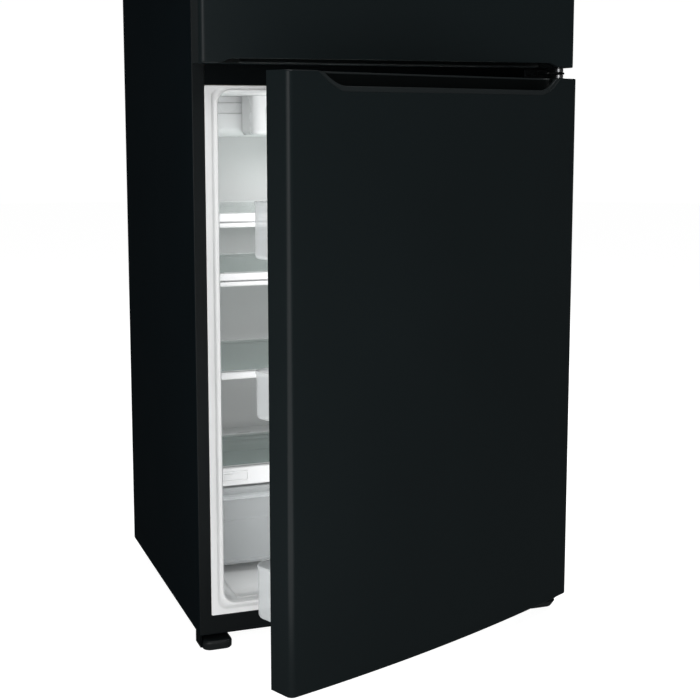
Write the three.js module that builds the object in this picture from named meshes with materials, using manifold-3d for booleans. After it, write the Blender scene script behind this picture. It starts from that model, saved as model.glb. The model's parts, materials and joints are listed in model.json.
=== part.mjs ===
// Top freezer refrigerator, 30 inch class, right-hand hinges, fridge door standing ajar.
// Millimetres. X to the right, Y to the back, Z up. The floor is z = 0.
// Every piece is drawn in cabinet places: x = 0 on the centre line, y = 0 on the cabinet's front plane.
// The whole object is then moved back so that y = 0 is the middle of its depth with the door ajar.
import * as THREE from 'three';
import { mergeVertices } from 'three/addons/utils/BufferGeometryUtils.js';
import Module from 'manifold-3d';

// ---------------------------------------------------------------- driving dimensions
const HALF_WIDTH = 378;
const CABINET_DEPTH = 651;
const CABINET_BOTTOM = 28;
const CABINET_TOP = 1668;
const SHEET = 1.2;
const PLASTIC = 2.5;
const FIT = 0.3;
const ORIGIN_BEHIND_FRONT = 153;

const FLANGE_INBOARD = 24;
const FRIDGE_FLANGE = { bottom: 65.7, top: 1080 };
const FREEZER_FLANGE = { bottom: 1130, top: 1644 };
const CAVITY_HALF_WIDTH = 326;
const CAVITY_BACK = 597;
const CAVITY_CORNER = 22;
const FRIDGE_CAVITY = { bottom: 90, top: 1067 };
const FREEZER_CAVITY = { bottom: 1147, top: 1618 };
const MOUTH_WIDENING = 7;
const MOUTH_LENGTH = 10;
const HUMP = { front: 455, top: 290 };
const MACHINE_ROOM = { front: 503.5, top: 240 };

const DOOR_GAP = 7.3;
const DOOR_THICKNESS = 57.4;
const DOOR_CROWN = 19;
const DOOR_EDGE_RADIUS = 8;
const FRIDGE_DOOR = { bottom: 39, top: 1097 };
const FREEZER_DOOR = { bottom: 1118, top: 1665 };
const HINGE_X = HALF_WIDTH - 15.5;
const HINGE_Y = -DOOR_GAP - 23.7;
const PIN_RADIUS = 4;
const DOOR_AJAR_DEG = 23.25;

const GRIP = { topHalf: 318, flatHalf: 255, depth: 33.6, lip: 12, lipRise: 9, back: -40 };
const SCOOP = { half: 305, backHalf: 262, below: 30 };
const FREEZER_GRIP = { bottomHalf: 344, flatHalf: 318, height: 8, scoopHeight: 34 };

const SHELF_FRONT = 150;
const SHELF_BACK = 548;
const SHELF_HALF = 321;
const SHELVES = [
  { name: 'shelf_1', top: 832, trim: 28, slotted: true },
  { name: 'shelf_2', top: 712, trim: 26, slotted: true },
  { name: 'shelf_3', top: 511, trim: 14, slotted: false },
];
const FREEZER_SHELF = { top: 1394, front: 96, back: 510, wires: 12 };
const CRISPER_COVER = { top: 314, trim: 37, back: 450 };
const CRISPER = { outer: 320, inner: 4, front: 152, back: 446, bottom: 108, top: 272 };
const HUMIDITY_TRACK = { outer: 296, inner: 240, bottom: 289, top: 303 };
const DUCT = { half: 300, front: 430, bottom: 979 };
const CONTROL = { half: 164, front: 335, bottom: 984 };
const SWITCH = { x: 274, z: 1055, radius: 5 };

const GASKET = { half: 360, width: 16 };
const DIKE = { half: 316, width: 28, rimHeight: 16, front: 30 };
const BIN_HALF = 308;
const BIN_DEPTH = 112;
const FREEZER_BIN_DEPTH = 78;
const LEG_X = 345;
const LEG_Y = 30;
const ROLLER_X = 340;
const ROLLER_Y = 610;
const ROLLER_RADIUS = 16;

// ---------------------------------------------------------------- materials
const FINISHES = {
  black_steel: { color: 0x161a1b, roughness: 0.42, metalness: 0.1 },
  black_plastic: { color: 0x0e1011, roughness: 0.5, metalness: 0 },
  white_plastic: { color: 0xe9ebea, roughness: 0.45, metalness: 0 },
  clear_plastic: { color: 0xc9d6d4, roughness: 0.15, metalness: 0 },
  glass: { color: 0xa9bdb6, roughness: 0.05, metalness: 0 },
  zinc_steel: { color: 0x9aa0a3, roughness: 0.4, metalness: 0.9 },
  foam: { color: 0xd9c98a, roughness: 0.95, metalness: 0 },
  rubber: { color: 0x1b1c1d, roughness: 0.8, metalness: 0 },
  aluminium: { color: 0xc3c6c8, roughness: 0.35, metalness: 1 },
};
const materials = {};
for (const [name, values] of Object.entries(FINISHES)) {
  materials[name] = new THREE.MeshStandardMaterial(values);
}

// ---------------------------------------------------------------- solids from three.js geometry
const wasm = await Module();
wasm.setup();

function solid(geometry) {
  geometry.deleteAttribute('normal');
  geometry.deleteAttribute('uv');
  const merged = mergeVertices(geometry, 1e-4);
  const vertProperties = new Float32Array(merged.attributes.position.array);
  const triVerts = new Uint32Array(merged.index.array);
  return new wasm.Manifold(new wasm.Mesh({ numProp: 3, vertProperties, triVerts }));
}

function geometryOf(body) {
  const { vertProperties, triVerts } = body.getMesh();
  const geometry = new THREE.BufferGeometry();
  geometry.setAttribute('position', new THREE.BufferAttribute(new Float32Array(vertProperties), 3));
  geometry.setIndex(new THREE.BufferAttribute(new Uint32Array(triVerts), 1));
  geometry.computeVertexNormals();
  return geometry;
}

function box(x0, x1, y0, y1, z0, z1) {
  const geometry = new THREE.BoxGeometry(x1 - x0, y1 - y0, z1 - z0);
  return solid(geometry.translate((x0 + x1) / 2, (y0 + y1) / 2, (z0 + z1) / 2));
}

function extruded(outline, depth) {
  const shape = new THREE.Shape(outline.map(([a, b]) => new THREE.Vector2(a, b)));
  return new THREE.ExtrudeGeometry(shape, { depth, bevelEnabled: false });
}

// an (x, y) outline raised from z0 to z1
function alongZ(outline, z0, z1) {
  return solid(extruded(outline, z1 - z0).translate(0, 0, z0));
}

// an (x, z) outline carried from y0 to y1
function alongY(outline, y0, y1) {
  const turn = new THREE.Matrix4().makeBasis(
    new THREE.Vector3(1, 0, 0), new THREE.Vector3(0, 0, 1), new THREE.Vector3(0, -1, 0));
  return solid(extruded(outline, y1 - y0).applyMatrix4(turn).translate(0, y1, 0));
}

// a (y, z) outline carried from x0 to x1
function alongX(outline, x0, x1) {
  const turn = new THREE.Matrix4().makeBasis(
    new THREE.Vector3(0, 1, 0), new THREE.Vector3(0, 0, 1), new THREE.Vector3(1, 0, 0));
  return solid(extruded(outline, x1 - x0).applyMatrix4(turn).translate(x0, 0, 0));
}

function rodZ(x, y, z0, z1, radius, sides = 16) {
  const geometry = new THREE.CylinderGeometry(radius, radius, z1 - z0, sides);
  return solid(geometry.rotateX(Math.PI / 2).translate(x, y, (z0 + z1) / 2));
}

function rodY(x, z, y0, y1, radius, sides = 16) {
  const geometry = new THREE.CylinderGeometry(radius, radius, y1 - y0, sides);
  return solid(geometry.translate(x, (y0 + y1) / 2, z));
}

function rodX(y, z, x0, x1, radius, sides = 16) {
  const geometry = new THREE.CylinderGeometry(radius, radius, x1 - x0, sides);
  return solid(geometry.rotateZ(Math.PI / 2).translate((x0 + x1) / 2, y, z));
}

function union(bodies) {
  return bodies.reduce((whole, body) => whole.add(body));
}

function arc(cx, cy, radius, fromDeg, toDeg, steps = 3) {
  const points = [];
  for (let i = 0; i <= steps; i += 1) {
    const angle = THREE.MathUtils.degToRad(fromDeg + (toDeg - fromDeg) * i / steps);
    points.push([cx + radius * Math.cos(angle), cy + radius * Math.sin(angle)]);
  }
  return points;
}

function roundedRect(x0, x1, y0, y1, radius, steps = 2) {
  return [
    ...arc(x1 - radius, y0 + radius, radius, -90, 0, steps),
    ...arc(x1 - radius, y1 - radius, radius, 0, 90, steps),
    ...arc(x0 + radius, y1 - radius, radius, 90, 180, steps),
    ...arc(x0 + radius, y0 + radius, radius, 180, 270, steps),
  ];
}

function mesh(name, body, finish) {
  const piece = new THREE.Mesh(geometryOf(body), materials[finish]);
  piece.name = name;
  return piece;
}

const refrigerator = new THREE.Group();
refrigerator.position.set(0, -ORIGIN_BEHIND_FRONT, 0);

// ---------------------------------------------------------------- cabinet shell
function cabinetWrapper() {
  const half = HALF_WIDTH;
  const outside = box(-half, half, 0, CABINET_DEPTH, CABINET_BOTTOM, CABINET_TOP);
  const inside = box(-half + SHEET, half - SHEET, SHEET, CABINET_DEPTH + 5, 0, CABINET_TOP - SHEET);
  const mouthHalf = half - FLANGE_INBOARD;
  const mouth = box(-mouthHalf, mouthHalf, -5, 5, FRIDGE_FLANGE.bottom, FREEZER_FLANGE.top);
  return outside.subtract(inside).subtract(mouth);
}

function backPanel() {
  const half = HALF_WIDTH - SHEET - FIT;
  return box(-half, half, CABINET_DEPTH - 1.5, CABINET_DEPTH - 0.3, 246, CABINET_TOP - SHEET - FIT);
}

// the room inside a liner, grown by a wall thickness on every side when asked
function cavity(room, grow, humped) {
  const half = CAVITY_HALF_WIDTH + grow;
  const outline = roundedRect(-half, half, room.bottom - grow, room.top + grow, CAVITY_CORNER + grow);
  const space = alongY(outline, grow > 0 ? 2 : -5, CAVITY_BACK + grow);
  if (!humped) {
    return space;
  }
  return space.subtract(box(-400, 400, HUMP.front + grow, 700, 0, HUMP.top - grow));
}

function cavityMouth(room) {
  const half = CAVITY_HALF_WIDTH;
  const outline = roundedRect(-half, half, room.bottom, room.top, CAVITY_CORNER);
  const shape = new THREE.Shape(outline.map(([a, b]) => new THREE.Vector2(a, b)));
  const flare = new THREE.ExtrudeGeometry(shape, {
    depth: 20, bevelThickness: MOUTH_LENGTH, bevelSize: MOUTH_WIDENING, bevelSegments: 2,
  });
  const turn = new THREE.Matrix4().makeBasis(
    new THREE.Vector3(1, 0, 0), new THREE.Vector3(0, 0, 1), new THREE.Vector3(0, -1, 0));
  return solid(flare.applyMatrix4(turn));
}

function liner(room, flange, humped, extras) {
  const half = HALF_WIDTH - FLANGE_INBOARD - FIT;
  const plate = box(-half, half, 0.2, 0.2 + PLASTIC, flange.bottom + FIT, flange.top - FIT);
  const flareHalf = CAVITY_HALF_WIDTH + MOUTH_WIDENING + PLASTIC;
  const rise = MOUTH_WIDENING + PLASTIC;
  const flareOutline = roundedRect(-flareHalf, flareHalf, room.bottom - rise, room.top + rise, CAVITY_CORNER);
  const flare = alongY(flareOutline, 2, MOUTH_LENGTH + PLASTIC);
  const shell = union([plate, flare, cavity(room, PLASTIC, humped)]);
  const hollow = shell.subtract(cavity(room, 0, humped)).subtract(cavityMouth(room));
  return union([hollow, ...extras]);
}

function supportRibs(tops, front, back) {
  const ribs = [];
  for (const top of tops) {
    for (const side of [-1, 1]) {
      const near = side * 314;
      const wall = side * (CAVITY_HALF_WIDTH + 1);
      ribs.push(box(Math.min(near, wall), Math.max(near, wall), front, back, top - 18, top - 12.3));
    }
  }
  return ribs;
}

function fridgeLiner() {
  const ribs = supportRibs(SHELVES.map((shelf) => shelf.top), SHELF_FRONT + 18, 545);
  const coverRibs = supportRibs([CRISPER_COVER.top], SHELF_FRONT + 18, 445);
  const rails = [];
  for (const x of [-300, -14, 14, 300]) {
    rails.push(box(x - 3, x + 3, 165, 440, FRIDGE_CAVITY.bottom - 1, CRISPER.bottom - FIT));
  }
  const { x, z, radius } = SWITCH;
  const boss = box(x - 12, x + 12, 46, 70, z - 10, FRIDGE_CAVITY.top + 1);
  const whole = liner(FRIDGE_CAVITY, FRIDGE_FLANGE, true, [...ribs, ...coverRibs, ...rails, boss]);
  return whole.subtract(rodY(x, z, 40, 75, radius + 0.4));
}

function freezerLiner() {
  const ribs = supportRibs([FREEZER_SHELF.top], FREEZER_SHELF.front, FREEZER_SHELF.back - 10);
  return liner(FREEZER_CAVITY, FREEZER_FLANGE, false, ribs);
}

function mullionBar() {
  const half = HALF_WIDTH - FLANGE_INBOARD - FIT;
  const bottom = FRIDGE_FLANGE.top + 0.1;
  const top = FREEZER_FLANGE.bottom - 0.1;
  const profile = [
    [0.2, bottom], [14, bottom + 3], [14, bottom + 4.2], [1.4, bottom + 4.2],
    [1.4, top - 4.2], [14, top - 4.2], [14, top - 3], [0.2, top],
  ];
  return alongX(profile, -half, half);
}

function cabinetFoam() {
  const half = HALF_WIDTH - SHEET - FIT;
  const block = box(-half, half, 15, CABINET_DEPTH - 1.9, CABINET_BOTTOM + 3, CABINET_TOP - SHEET - FIT);
  const skin = PLASTIC + FIT;
  const machineRoom = box(-400, 400, MACHINE_ROOM.front - FIT, 700, 0, MACHINE_ROOM.top + FIT);
  let foam = block.subtract(cavity(FRIDGE_CAVITY, skin, true)).subtract(cavity(FREEZER_CAVITY, skin, false));
  foam = foam.subtract(machineRoom);
  for (const side of [-1, 1]) {
    foam = foam.subtract(rodZ(side * LEG_X, LEG_Y, 20, 48, 8, 12));
  }
  return foam;
}

// floor tray, machine room wall and roof, left leg boss and roller cheeks in one folded frame
function baseFrame() {
  const half = HALF_WIDTH - SHEET - 0.4;
  const z = CABINET_BOTTOM + 0.2;
  const wall = MACHINE_ROOM.front;
  const roof = MACHINE_ROOM.top;
  const profile = [
    [1.6, z], [649, z], [649, z + 1.5], [wall + 1.5, z + 1.5], [wall + 1.5, roof - 1.5],
    [649, roof - 1.5], [649, roof], [wall, roof], [wall, z + 1.5], [1.6, z + 1.5],
  ];
  const parts = [alongX(profile, -half, half)];
  parts.push(rodZ(-LEG_X, LEG_Y, 20, z + 1, 11));
  parts.push(box(-half, -half + 3, 2, 40, 4, z + 1));
  for (const side of [-1, 1]) {
    for (const cheek of [-13, 13]) {
      const x = side * ROLLER_X + cheek;
      parts.push(box(x - 1.2, x + 1.2, ROLLER_Y - 20, ROLLER_Y + 20, 8, z + 1));
    }
  }
  let frame = union(parts);
  for (const side of [-1, 1]) {
    const x = side * ROLLER_X;
    frame = frame.subtract(rodZ(side * LEG_X, LEG_Y, 0, 50, 5.4));
    frame = frame.subtract(box(x - 11, x + 11, ROLLER_Y - 18, ROLLER_Y + 18, 20, 40));
    frame = frame.subtract(rodX(ROLLER_Y, ROLLER_RADIUS, x - 16, x + 16, 4.4, 16));
  }
  return frame;
}

refrigerator.add(mesh('cabinet_wrapper', cabinetWrapper(), 'black_steel'));
refrigerator.add(mesh('back_panel', backPanel(), 'zinc_steel'));
refrigerator.add(mesh('cabinet_foam', cabinetFoam(), 'foam'));
refrigerator.add(mesh('fridge_liner', fridgeLiner(), 'white_plastic'));
refrigerator.add(mesh('freezer_liner', freezerLiner(), 'white_plastic'));
refrigerator.add(mesh('mullion_bar', mullionBar(), 'black_steel'));
refrigerator.add(mesh('base_frame', baseFrame(), 'black_steel'));

// ---------------------------------------------------------------- hinges
function hingePin(z0, z1, radius = PIN_RADIUS) {
  return rodZ(HINGE_X, HINGE_Y, z0, z1, radius, 16);
}

function bottomHinge() {
  const plate = alongZ(roundedRect(322, 375, -42, 70, 6), 24, 27.9);
  const bearing = hingePin(27, FRIDGE_DOOR.bottom - 0.5, 9);
  const bracket = union([plate, bearing, hingePin(27, 60)]);
  return bracket.subtract(rodZ(LEG_X, LEG_Y, 0, 50, 5.4));
}

function centreHinge() {
  const z = (FRIDGE_DOOR.top + FREEZER_DOOR.bottom) / 2;
  const flange = box(300, 353, -2.7, -FIT, z - 8.5, z + 8.5);
  const plate = alongZ(roundedRect(330, 372, -41, -0.5, 6), z - 2, z + 2);
  const washers = hingePin(FRIDGE_DOOR.top + 0.5, FREEZER_DOOR.bottom - 0.5, 8);
  return union([flange, plate, washers, hingePin(1072, 1143)]);
}

function topHinge() {
  const plate = alongZ(roundedRect(322, 372, -41, 70, 10), CABINET_TOP + FIT, CABINET_TOP + 3.3);
  const washer = hingePin(FREEZER_DOOR.top + 0.4, CABINET_TOP + 1, 8);
  return union([plate, washer, hingePin(1640, CABINET_TOP + 1)]);
}

function topHingeCover() {
  const outside = alongZ(roundedRect(316, 377, -46, 78, 14), CABINET_TOP + 0.4, CABINET_TOP + 13);
  const inside = alongZ(roundedRect(319, 374, -43, 75, 11), CABINET_TOP - 5, CABINET_TOP + 10);
  return outside.subtract(inside);
}

refrigerator.add(mesh('bottom_hinge', bottomHinge(), 'zinc_steel'));
refrigerator.add(mesh('centre_hinge', centreHinge(), 'zinc_steel'));
refrigerator.add(mesh('top_hinge', topHinge(), 'zinc_steel'));
refrigerator.add(mesh('top_hinge_cover', topHingeCover(), 'black_plastic'));

// ---------------------------------------------------------------- feet and rollers
function levellingLeg(x) {
  return union([rodZ(x, LEG_Y, 0, 7, 17, 20), rodZ(x, LEG_Y, 6, 44, 5, 10)]);
}

// a cap in front of each levelling leg, open round the leg and to the back
function footCover(x0, x1, legX, front, bottomFront, top) {
  const profile = [[front, top], [front, top - 4], [bottomFront, 3], [52, 3], [52, top]];
  const cap = alongX(profile, x0, x1);
  const plan = alongZ(roundedRect(x0, x1, front, 80, 16), 0, 40);
  const legRoom = rodZ(legX, LEG_Y, 0, 40, 19, 16).add(box(legX - 19, legX + 19, LEG_Y, 60, 0, 40));
  return cap.intersect(plan).subtract(legRoom);
}

function rearRoller(x) {
  const wheel = rodX(ROLLER_Y, ROLLER_RADIUS, x - 9, x + 9, ROLLER_RADIUS, 24);
  return wheel.add(rodX(ROLLER_Y, ROLLER_RADIUS, x - 15.5, x + 15.5, PIN_RADIUS, 10));
}

refrigerator.add(mesh('foot_cover_left', footCover(-372.5, -314, -LEG_X, -12, -8, 19), 'black_plastic'));
refrigerator.add(mesh('foot_cover_right', footCover(316, 376, LEG_X, -42, -26, 23.6), 'black_plastic'));
refrigerator.add(mesh('levelling_leg_left', levellingLeg(-LEG_X), 'black_plastic'));
refrigerator.add(mesh('levelling_leg_right', levellingLeg(LEG_X), 'black_plastic'));
refrigerator.add(mesh('rear_roller_left', rearRoller(-ROLLER_X), 'black_plastic'));
refrigerator.add(mesh('rear_roller_right', rearRoller(ROLLER_X), 'black_plastic'));

// ---------------------------------------------------------------- machine room
const FLOOR_PLATE = CABINET_BOTTOM + 1.7 + FIT;

const COMPRESSOR = { x: 190, y: 578, bottom: 42, plateHalf: [70, 54], footHalf: [62, 46] };

// a lathed shell on a plate with four rubber feet
function compressor() {
  const { x, y, bottom, plateHalf, footHalf } = COMPRESSOR;
  const profile = [
    [0, 0], [44, 4], [60, 20], [62, 92], [54, 128], [34, 146], [0, 152],
  ].map(([r, h]) => new THREE.Vector2(r, h));
  const shell = new THREE.LatheGeometry(profile, 16).rotateX(Math.PI / 2).translate(x, y, bottom);
  const [halfX, halfY] = plateHalf;
  const parts = [solid(shell), box(x - halfX, x + halfX, y - halfY, y + halfY, bottom - 2, bottom + 2)];
  for (const side of [-1, 1]) {
    for (const end of [-1, 1]) {
      parts.push(rodZ(x + side * footHalf[0], y + end * footHalf[1], FLOOR_PLATE, bottom, 7, 8));
    }
  }
  return union(parts);
}

// flat rows joined at alternate ends into one serpentine
function coilBody({ x0, x1, y0, y1, bottom, pitch, rows, tube }) {
  const parts = [];
  for (let row = 0; row < rows; row += 1) {
    const z = bottom + row * pitch;
    parts.push(box(x0, x1, y0, y1, z, z + tube));
    if (row < rows - 1) {
      const end = row % 2 === 0 ? x1 - tube : x0;
      parts.push(box(end, end + tube, y0, y1, z, z + pitch + tube));
    }
  }
  return union(parts);
}

// a hub with pitched blades, drawn about the Y axis and then placed
function fanBlades(radius, hubRadius, width, place) {
  const blades = 5;
  const root = hubRadius - 4;
  const reach = radius - root;
  const hub = new THREE.CylinderGeometry(hubRadius, hubRadius, width, 20);
  const parts = [solid(hub.applyMatrix4(place))];
  for (let i = 0; i < blades; i += 1) {
    const blade = new THREE.BoxGeometry(reach, 1.6, radius * 0.55);
    blade.rotateX(THREE.MathUtils.degToRad(24));
    blade.translate(root + reach / 2, 0, 0);
    blade.rotateY(i * 2 * Math.PI / blades);
    parts.push(solid(blade.applyMatrix4(place)));
  }
  return union(parts);
}

const CONDENSER_FAN = { x: -76, y: 576, z: 122, radius: 60, hub: 15 };

function condenserFanMotor() {
  const { x, y, z } = CONDENSER_FAN;
  const can = rodX(y, z, x + 24, x + 64, 30, 24);
  const shaft = rodX(y, z, x + 12, x + 26, 3, 12);
  const post = box(x + 36, x + 42, y - 35, y + 35, FLOOR_PLATE, z);
  return union([can, shaft, post]);
}

function condenserFan() {
  const { x, y, z, radius, hub } = CONDENSER_FAN;
  const place = new THREE.Matrix4().makeTranslation(x, y, z);
  place.multiply(new THREE.Matrix4().makeRotationZ(Math.PI / 2));
  return fanBlades(radius, hub, 20, place).subtract(rodX(y, z, x + 6, x + 16, 3.4, 12));
}

const DRAIN_PAN = { left: 70, right: 310, front: 514, back: 642, bottom: 204, top: 232 };

function drainPan() {
  const { left, right, front, back, bottom, top } = DRAIN_PAN;
  const w = PLASTIC;
  const outside = alongZ(roundedRect(left, right, front, back, 10), bottom, top);
  const inside = alongZ(roundedRect(left + w, right - w, front + w, back - w, 8), bottom + w, top + 5);
  return outside.subtract(inside);
}

const GLAND = { x: -20, z: 70, flange: 17, body: 12, bore: 4 };
const LOUVRES = { starts: [-290, -190, 110, 210], length: 80, rows: 4, bottom: 90, pitch: 26, height: 8 };

function machineCover() {
  const half = HALF_WIDTH - SHEET - 0.5;
  let cover = box(-half, half, CABINET_DEPTH - 1.5, CABINET_DEPTH - 0.3, 33, 244);
  for (const x of LOUVRES.starts) {
    for (let row = 0; row < LOUVRES.rows; row += 1) {
      const z = LOUVRES.bottom + row * LOUVRES.pitch;
      cover = cover.subtract(box(x, x + LOUVRES.length, 640, 660, z, z + LOUVRES.height));
    }
  }
  return cover.subtract(rodY(GLAND.x, GLAND.z, 640, 660, GLAND.body + 0.4, 20));
}

function cordGland() {
  const { x, z, flange, body, bore } = GLAND;
  const collar = rodY(x, z, CABINET_DEPTH + 0.1, CABINET_DEPTH + 8, flange, 24);
  const plug = rodY(x, z, CABINET_DEPTH - 11, CABINET_DEPTH + 2, body, 20);
  return collar.add(plug).subtract(rodY(x, z, CABINET_DEPTH - 6, CABINET_DEPTH + 20, bore, 16));
}

refrigerator.add(mesh('compressor', compressor(), 'black_steel'));
const condenserCoil = coilBody({
  x0: -330, x1: -100, y0: 530, y1: 625, bottom: 40, pitch: 18, rows: 9, tube: 6,
});
refrigerator.add(mesh('condenser_coil', condenserCoil, 'black_steel'));
refrigerator.add(mesh('condenser_fan_motor', condenserFanMotor(), 'zinc_steel'));
refrigerator.add(mesh('condenser_fan', condenserFan(), 'black_plastic'));
refrigerator.add(mesh('drain_pan', drainPan(), 'black_plastic'));
refrigerator.add(mesh('machine_cover', machineCover(), 'zinc_steel'));
refrigerator.add(mesh('cord_gland', cordGland(), 'rubber'));

// ---------------------------------------------------------------- freezer compartment
const EVAPORATOR = { coverFront: 518, coverTop: 1596, fanZ: 1530, fanOpening: 50, fan: 46, hub: 12 };

function evaporatorCover() {
  const half = CAVITY_HALF_WIDTH - 0.6;
  const bottom = FREEZER_CAVITY.bottom + 0.6;
  const { coverFront, coverTop, fanZ, fanOpening } = EVAPORATOR;
  const w = PLASTIC;
  const outline = roundedRect(-half, half, bottom, coverTop, CAVITY_CORNER);
  const outside = alongY(outline, coverFront, CAVITY_BACK - 0.5);
  const innerOutline = roundedRect(-half + w, half - w, bottom + w, coverTop - w, CAVITY_CORNER - w);
  const inside = alongY(innerOutline, coverFront + w, CAVITY_BACK + 10);
  let cover = outside.subtract(inside);
  cover = cover.subtract(rodY(0, fanZ, coverFront - 10, coverFront + 10, fanOpening, 28));
  for (let row = 0; row < 4; row += 1) {
    const z = bottom + 12 + row * 12;
    cover = cover.subtract(box(-260, 260, coverFront - 10, coverFront + 10, z, z + 5));
  }
  return cover;
}

function evaporatorCoil() {
  const parts = [];
  for (let fin = 0; fin < 7; fin += 1) {
    const x = -210 + fin * 70;
    parts.push(box(x - 1, x + 1, 535, 588, 1215, 1440));
  }
  for (const z of [1260, 1395]) {
    parts.push(rodX(562, z, -225, 225, 5, 6));
  }
  return union(parts);
}

function evaporatorFanMotor() {
  const { fanZ } = EVAPORATOR;
  const can = rodY(0, fanZ, 556, 585, 24, 20);
  const bracket = box(-120, 120, 566, 570, fanZ - 12, fanZ + 12);
  const shaft = rodY(0, fanZ, 548, 558, 3, 12);
  return union([can, bracket, shaft]);
}

function evaporatorFan() {
  const { fanZ, fan, hub } = EVAPORATOR;
  const place = new THREE.Matrix4().makeTranslation(0, 542, fanZ);
  return fanBlades(fan, hub, 16, place).subtract(rodY(0, fanZ, 547, 555, 3.4, 12));
}

function freezerShelf() {
  const { top, front, back, wires } = FREEZER_SHELF;
  const rail = 10;
  const ring = box(-SHELF_HALF, SHELF_HALF, front, back, top - 12, top);
  const window = box(-SHELF_HALF + rail, SHELF_HALF - rail, front + rail, back - rail, top - 20, top + 5);
  const parts = [ring.subtract(window)];
  for (let i = 1; i <= wires; i += 1) {
    const x = -SHELF_HALF + i * (2 * SHELF_HALF / (wires + 1));
    parts.push(box(x - 2, x + 2, front + 8, back - 8, top - 5, top - 1));
  }
  return union(parts);
}

refrigerator.add(mesh('evaporator_cover', evaporatorCover(), 'white_plastic'));
refrigerator.add(mesh('evaporator_coil', evaporatorCoil(), 'aluminium'));
refrigerator.add(mesh('evaporator_fan_motor', evaporatorFanMotor(), 'zinc_steel'));
refrigerator.add(mesh('evaporator_fan', evaporatorFan(), 'black_plastic'));
refrigerator.add(mesh('freezer_shelf', freezerShelf(), 'white_plastic'));

// ---------------------------------------------------------------- fridge compartment
function airDuct() {
  const { half, front, bottom } = DUCT;
  const top = FRIDGE_CAVITY.top - FIT;
  const profile = [
    [596.7, top], [front + 8, top], [front + 6, top - 20], [front + 2, top - 46],
    [front, top - 62], [front + 10, bottom], [596.7, bottom],
  ];
  const inside = box(-half + PLASTIC, half - PLASTIC, front + 14, 610, bottom + PLASTIC, top + 10);
  return alongX(profile, -half, half).subtract(inside);
}

function controlHousing() {
  const { half, front, bottom } = CONTROL;
  const top = FRIDGE_CAVITY.top - FIT;
  const back = DUCT.front - FIT;
  const outside = alongZ(roundedRect(-half, half, front, back + 30, 16), bottom, top);
  const trimmed = outside.subtract(box(-200, 200, back, 600, 900, 1100));
  const inside = box(-half + 6, half - 6, front + PLASTIC, back + 10, bottom + PLASTIC, top + 10);
  return trimmed.subtract(inside);
}

const LENS = { half: 70, front: 352, back: 414 };
const KNOB = { x: 95, z: 1026, radius: 24, gripHalf: 22 };

function lightLens() {
  const profile = roundedRect(-LENS.half, LENS.half, LENS.front, LENS.back, 12);
  return alongZ(profile, CONTROL.bottom - 12, CONTROL.bottom - FIT);
}

function temperatureKnob() {
  const { x, z, radius, gripHalf } = KNOB;
  const disc = rodY(x, z, CONTROL.front - 9, CONTROL.front - FIT, radius, 32);
  return disc.add(box(x - 4, x + 4, CONTROL.front - 18, CONTROL.front - 8, z - gripHalf, z + gripHalf));
}

function lightSwitch() {
  return rodY(SWITCH.x, SWITCH.z, 31, 64, SWITCH.radius, 20);
}

function shelfFrame(top, trim, front, back, slotted) {
  const rail = box(-SHELF_HALF, SHELF_HALF, front, back, top - 12, top);
  const face = box(-SHELF_HALF, SHELF_HALF, front, front + 16, top - trim, top);
  const window = box(-296, 296, front + 18, back - 20, top - 40, top + 5);
  const ledge = box(-306.4, 306.4, front + 12.6, back - 12.6, top - 5.3, top + 5);
  let frame = rail.subtract(window).add(face).subtract(ledge);
  if (slotted) {
    frame = frame.subtract(box(-312, 312, front - 1, front + 7, top - trim + 9, top - trim + 11.5));
  }
  return frame;
}

function shelfGlass(top, front, back) {
  return box(-306, 306, front + 13, back - 13, top - 5, top - 1);
}

for (const shelf of SHELVES) {
  const frame = shelfFrame(shelf.top, shelf.trim, SHELF_FRONT, SHELF_BACK, shelf.slotted);
  refrigerator.add(mesh(`${shelf.name}_frame`, frame, 'white_plastic'));
  refrigerator.add(mesh(`${shelf.name}_glass`, shelfGlass(shelf.top, SHELF_FRONT, SHELF_BACK), 'glass'));
}

function crisperCover() {
  let cover = shelfFrame(CRISPER_COVER.top, CRISPER_COVER.trim, SHELF_FRONT, CRISPER_COVER.back, false);
  cover = cover.add(box(-5, 5, SHELF_FRONT + 10, CRISPER_COVER.back - 10, 296, 308));
  for (const side of [-1, 1]) {
    const ends = [side * HUMIDITY_TRACK.outer, side * HUMIDITY_TRACK.inner].sort((a, b) => a - b);
    const { bottom, top } = HUMIDITY_TRACK;
    cover = cover.subtract(box(ends[0], ends[1], SHELF_FRONT - 1, SHELF_FRONT + 4, bottom, top));
  }
  return cover;
}

function humiditySlider(side) {
  const middle = side * (HUMIDITY_TRACK.outer + HUMIDITY_TRACK.inner) / 2 - 12;
  const z0 = HUMIDITY_TRACK.bottom + 1;
  const z1 = HUMIDITY_TRACK.top - 1;
  return box(middle - 12, middle + 12, SHELF_FRONT - 4, SHELF_FRONT + 3.6, z0, z1);
}

function crisper(side) {
  const ends = [side * CRISPER.outer, side * CRISPER.inner].sort((a, b) => a - b);
  const wall = 3;
  const plan = roundedRect(ends[0], ends[1], CRISPER.front, CRISPER.back, 12);
  const room = roundedRect(ends[0] + wall, ends[1] - wall, CRISPER.front + wall, CRISPER.back - wall, 9);
  const bin = alongZ(plan, CRISPER.bottom, CRISPER.top).subtract(alongZ(room, CRISPER.bottom + wall, 300));
  const lip = box(ends[0] + 30, ends[1] - 30, CRISPER.front - 8, CRISPER.front + 1, 250, 256);
  return bin.add(lip);
}

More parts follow.
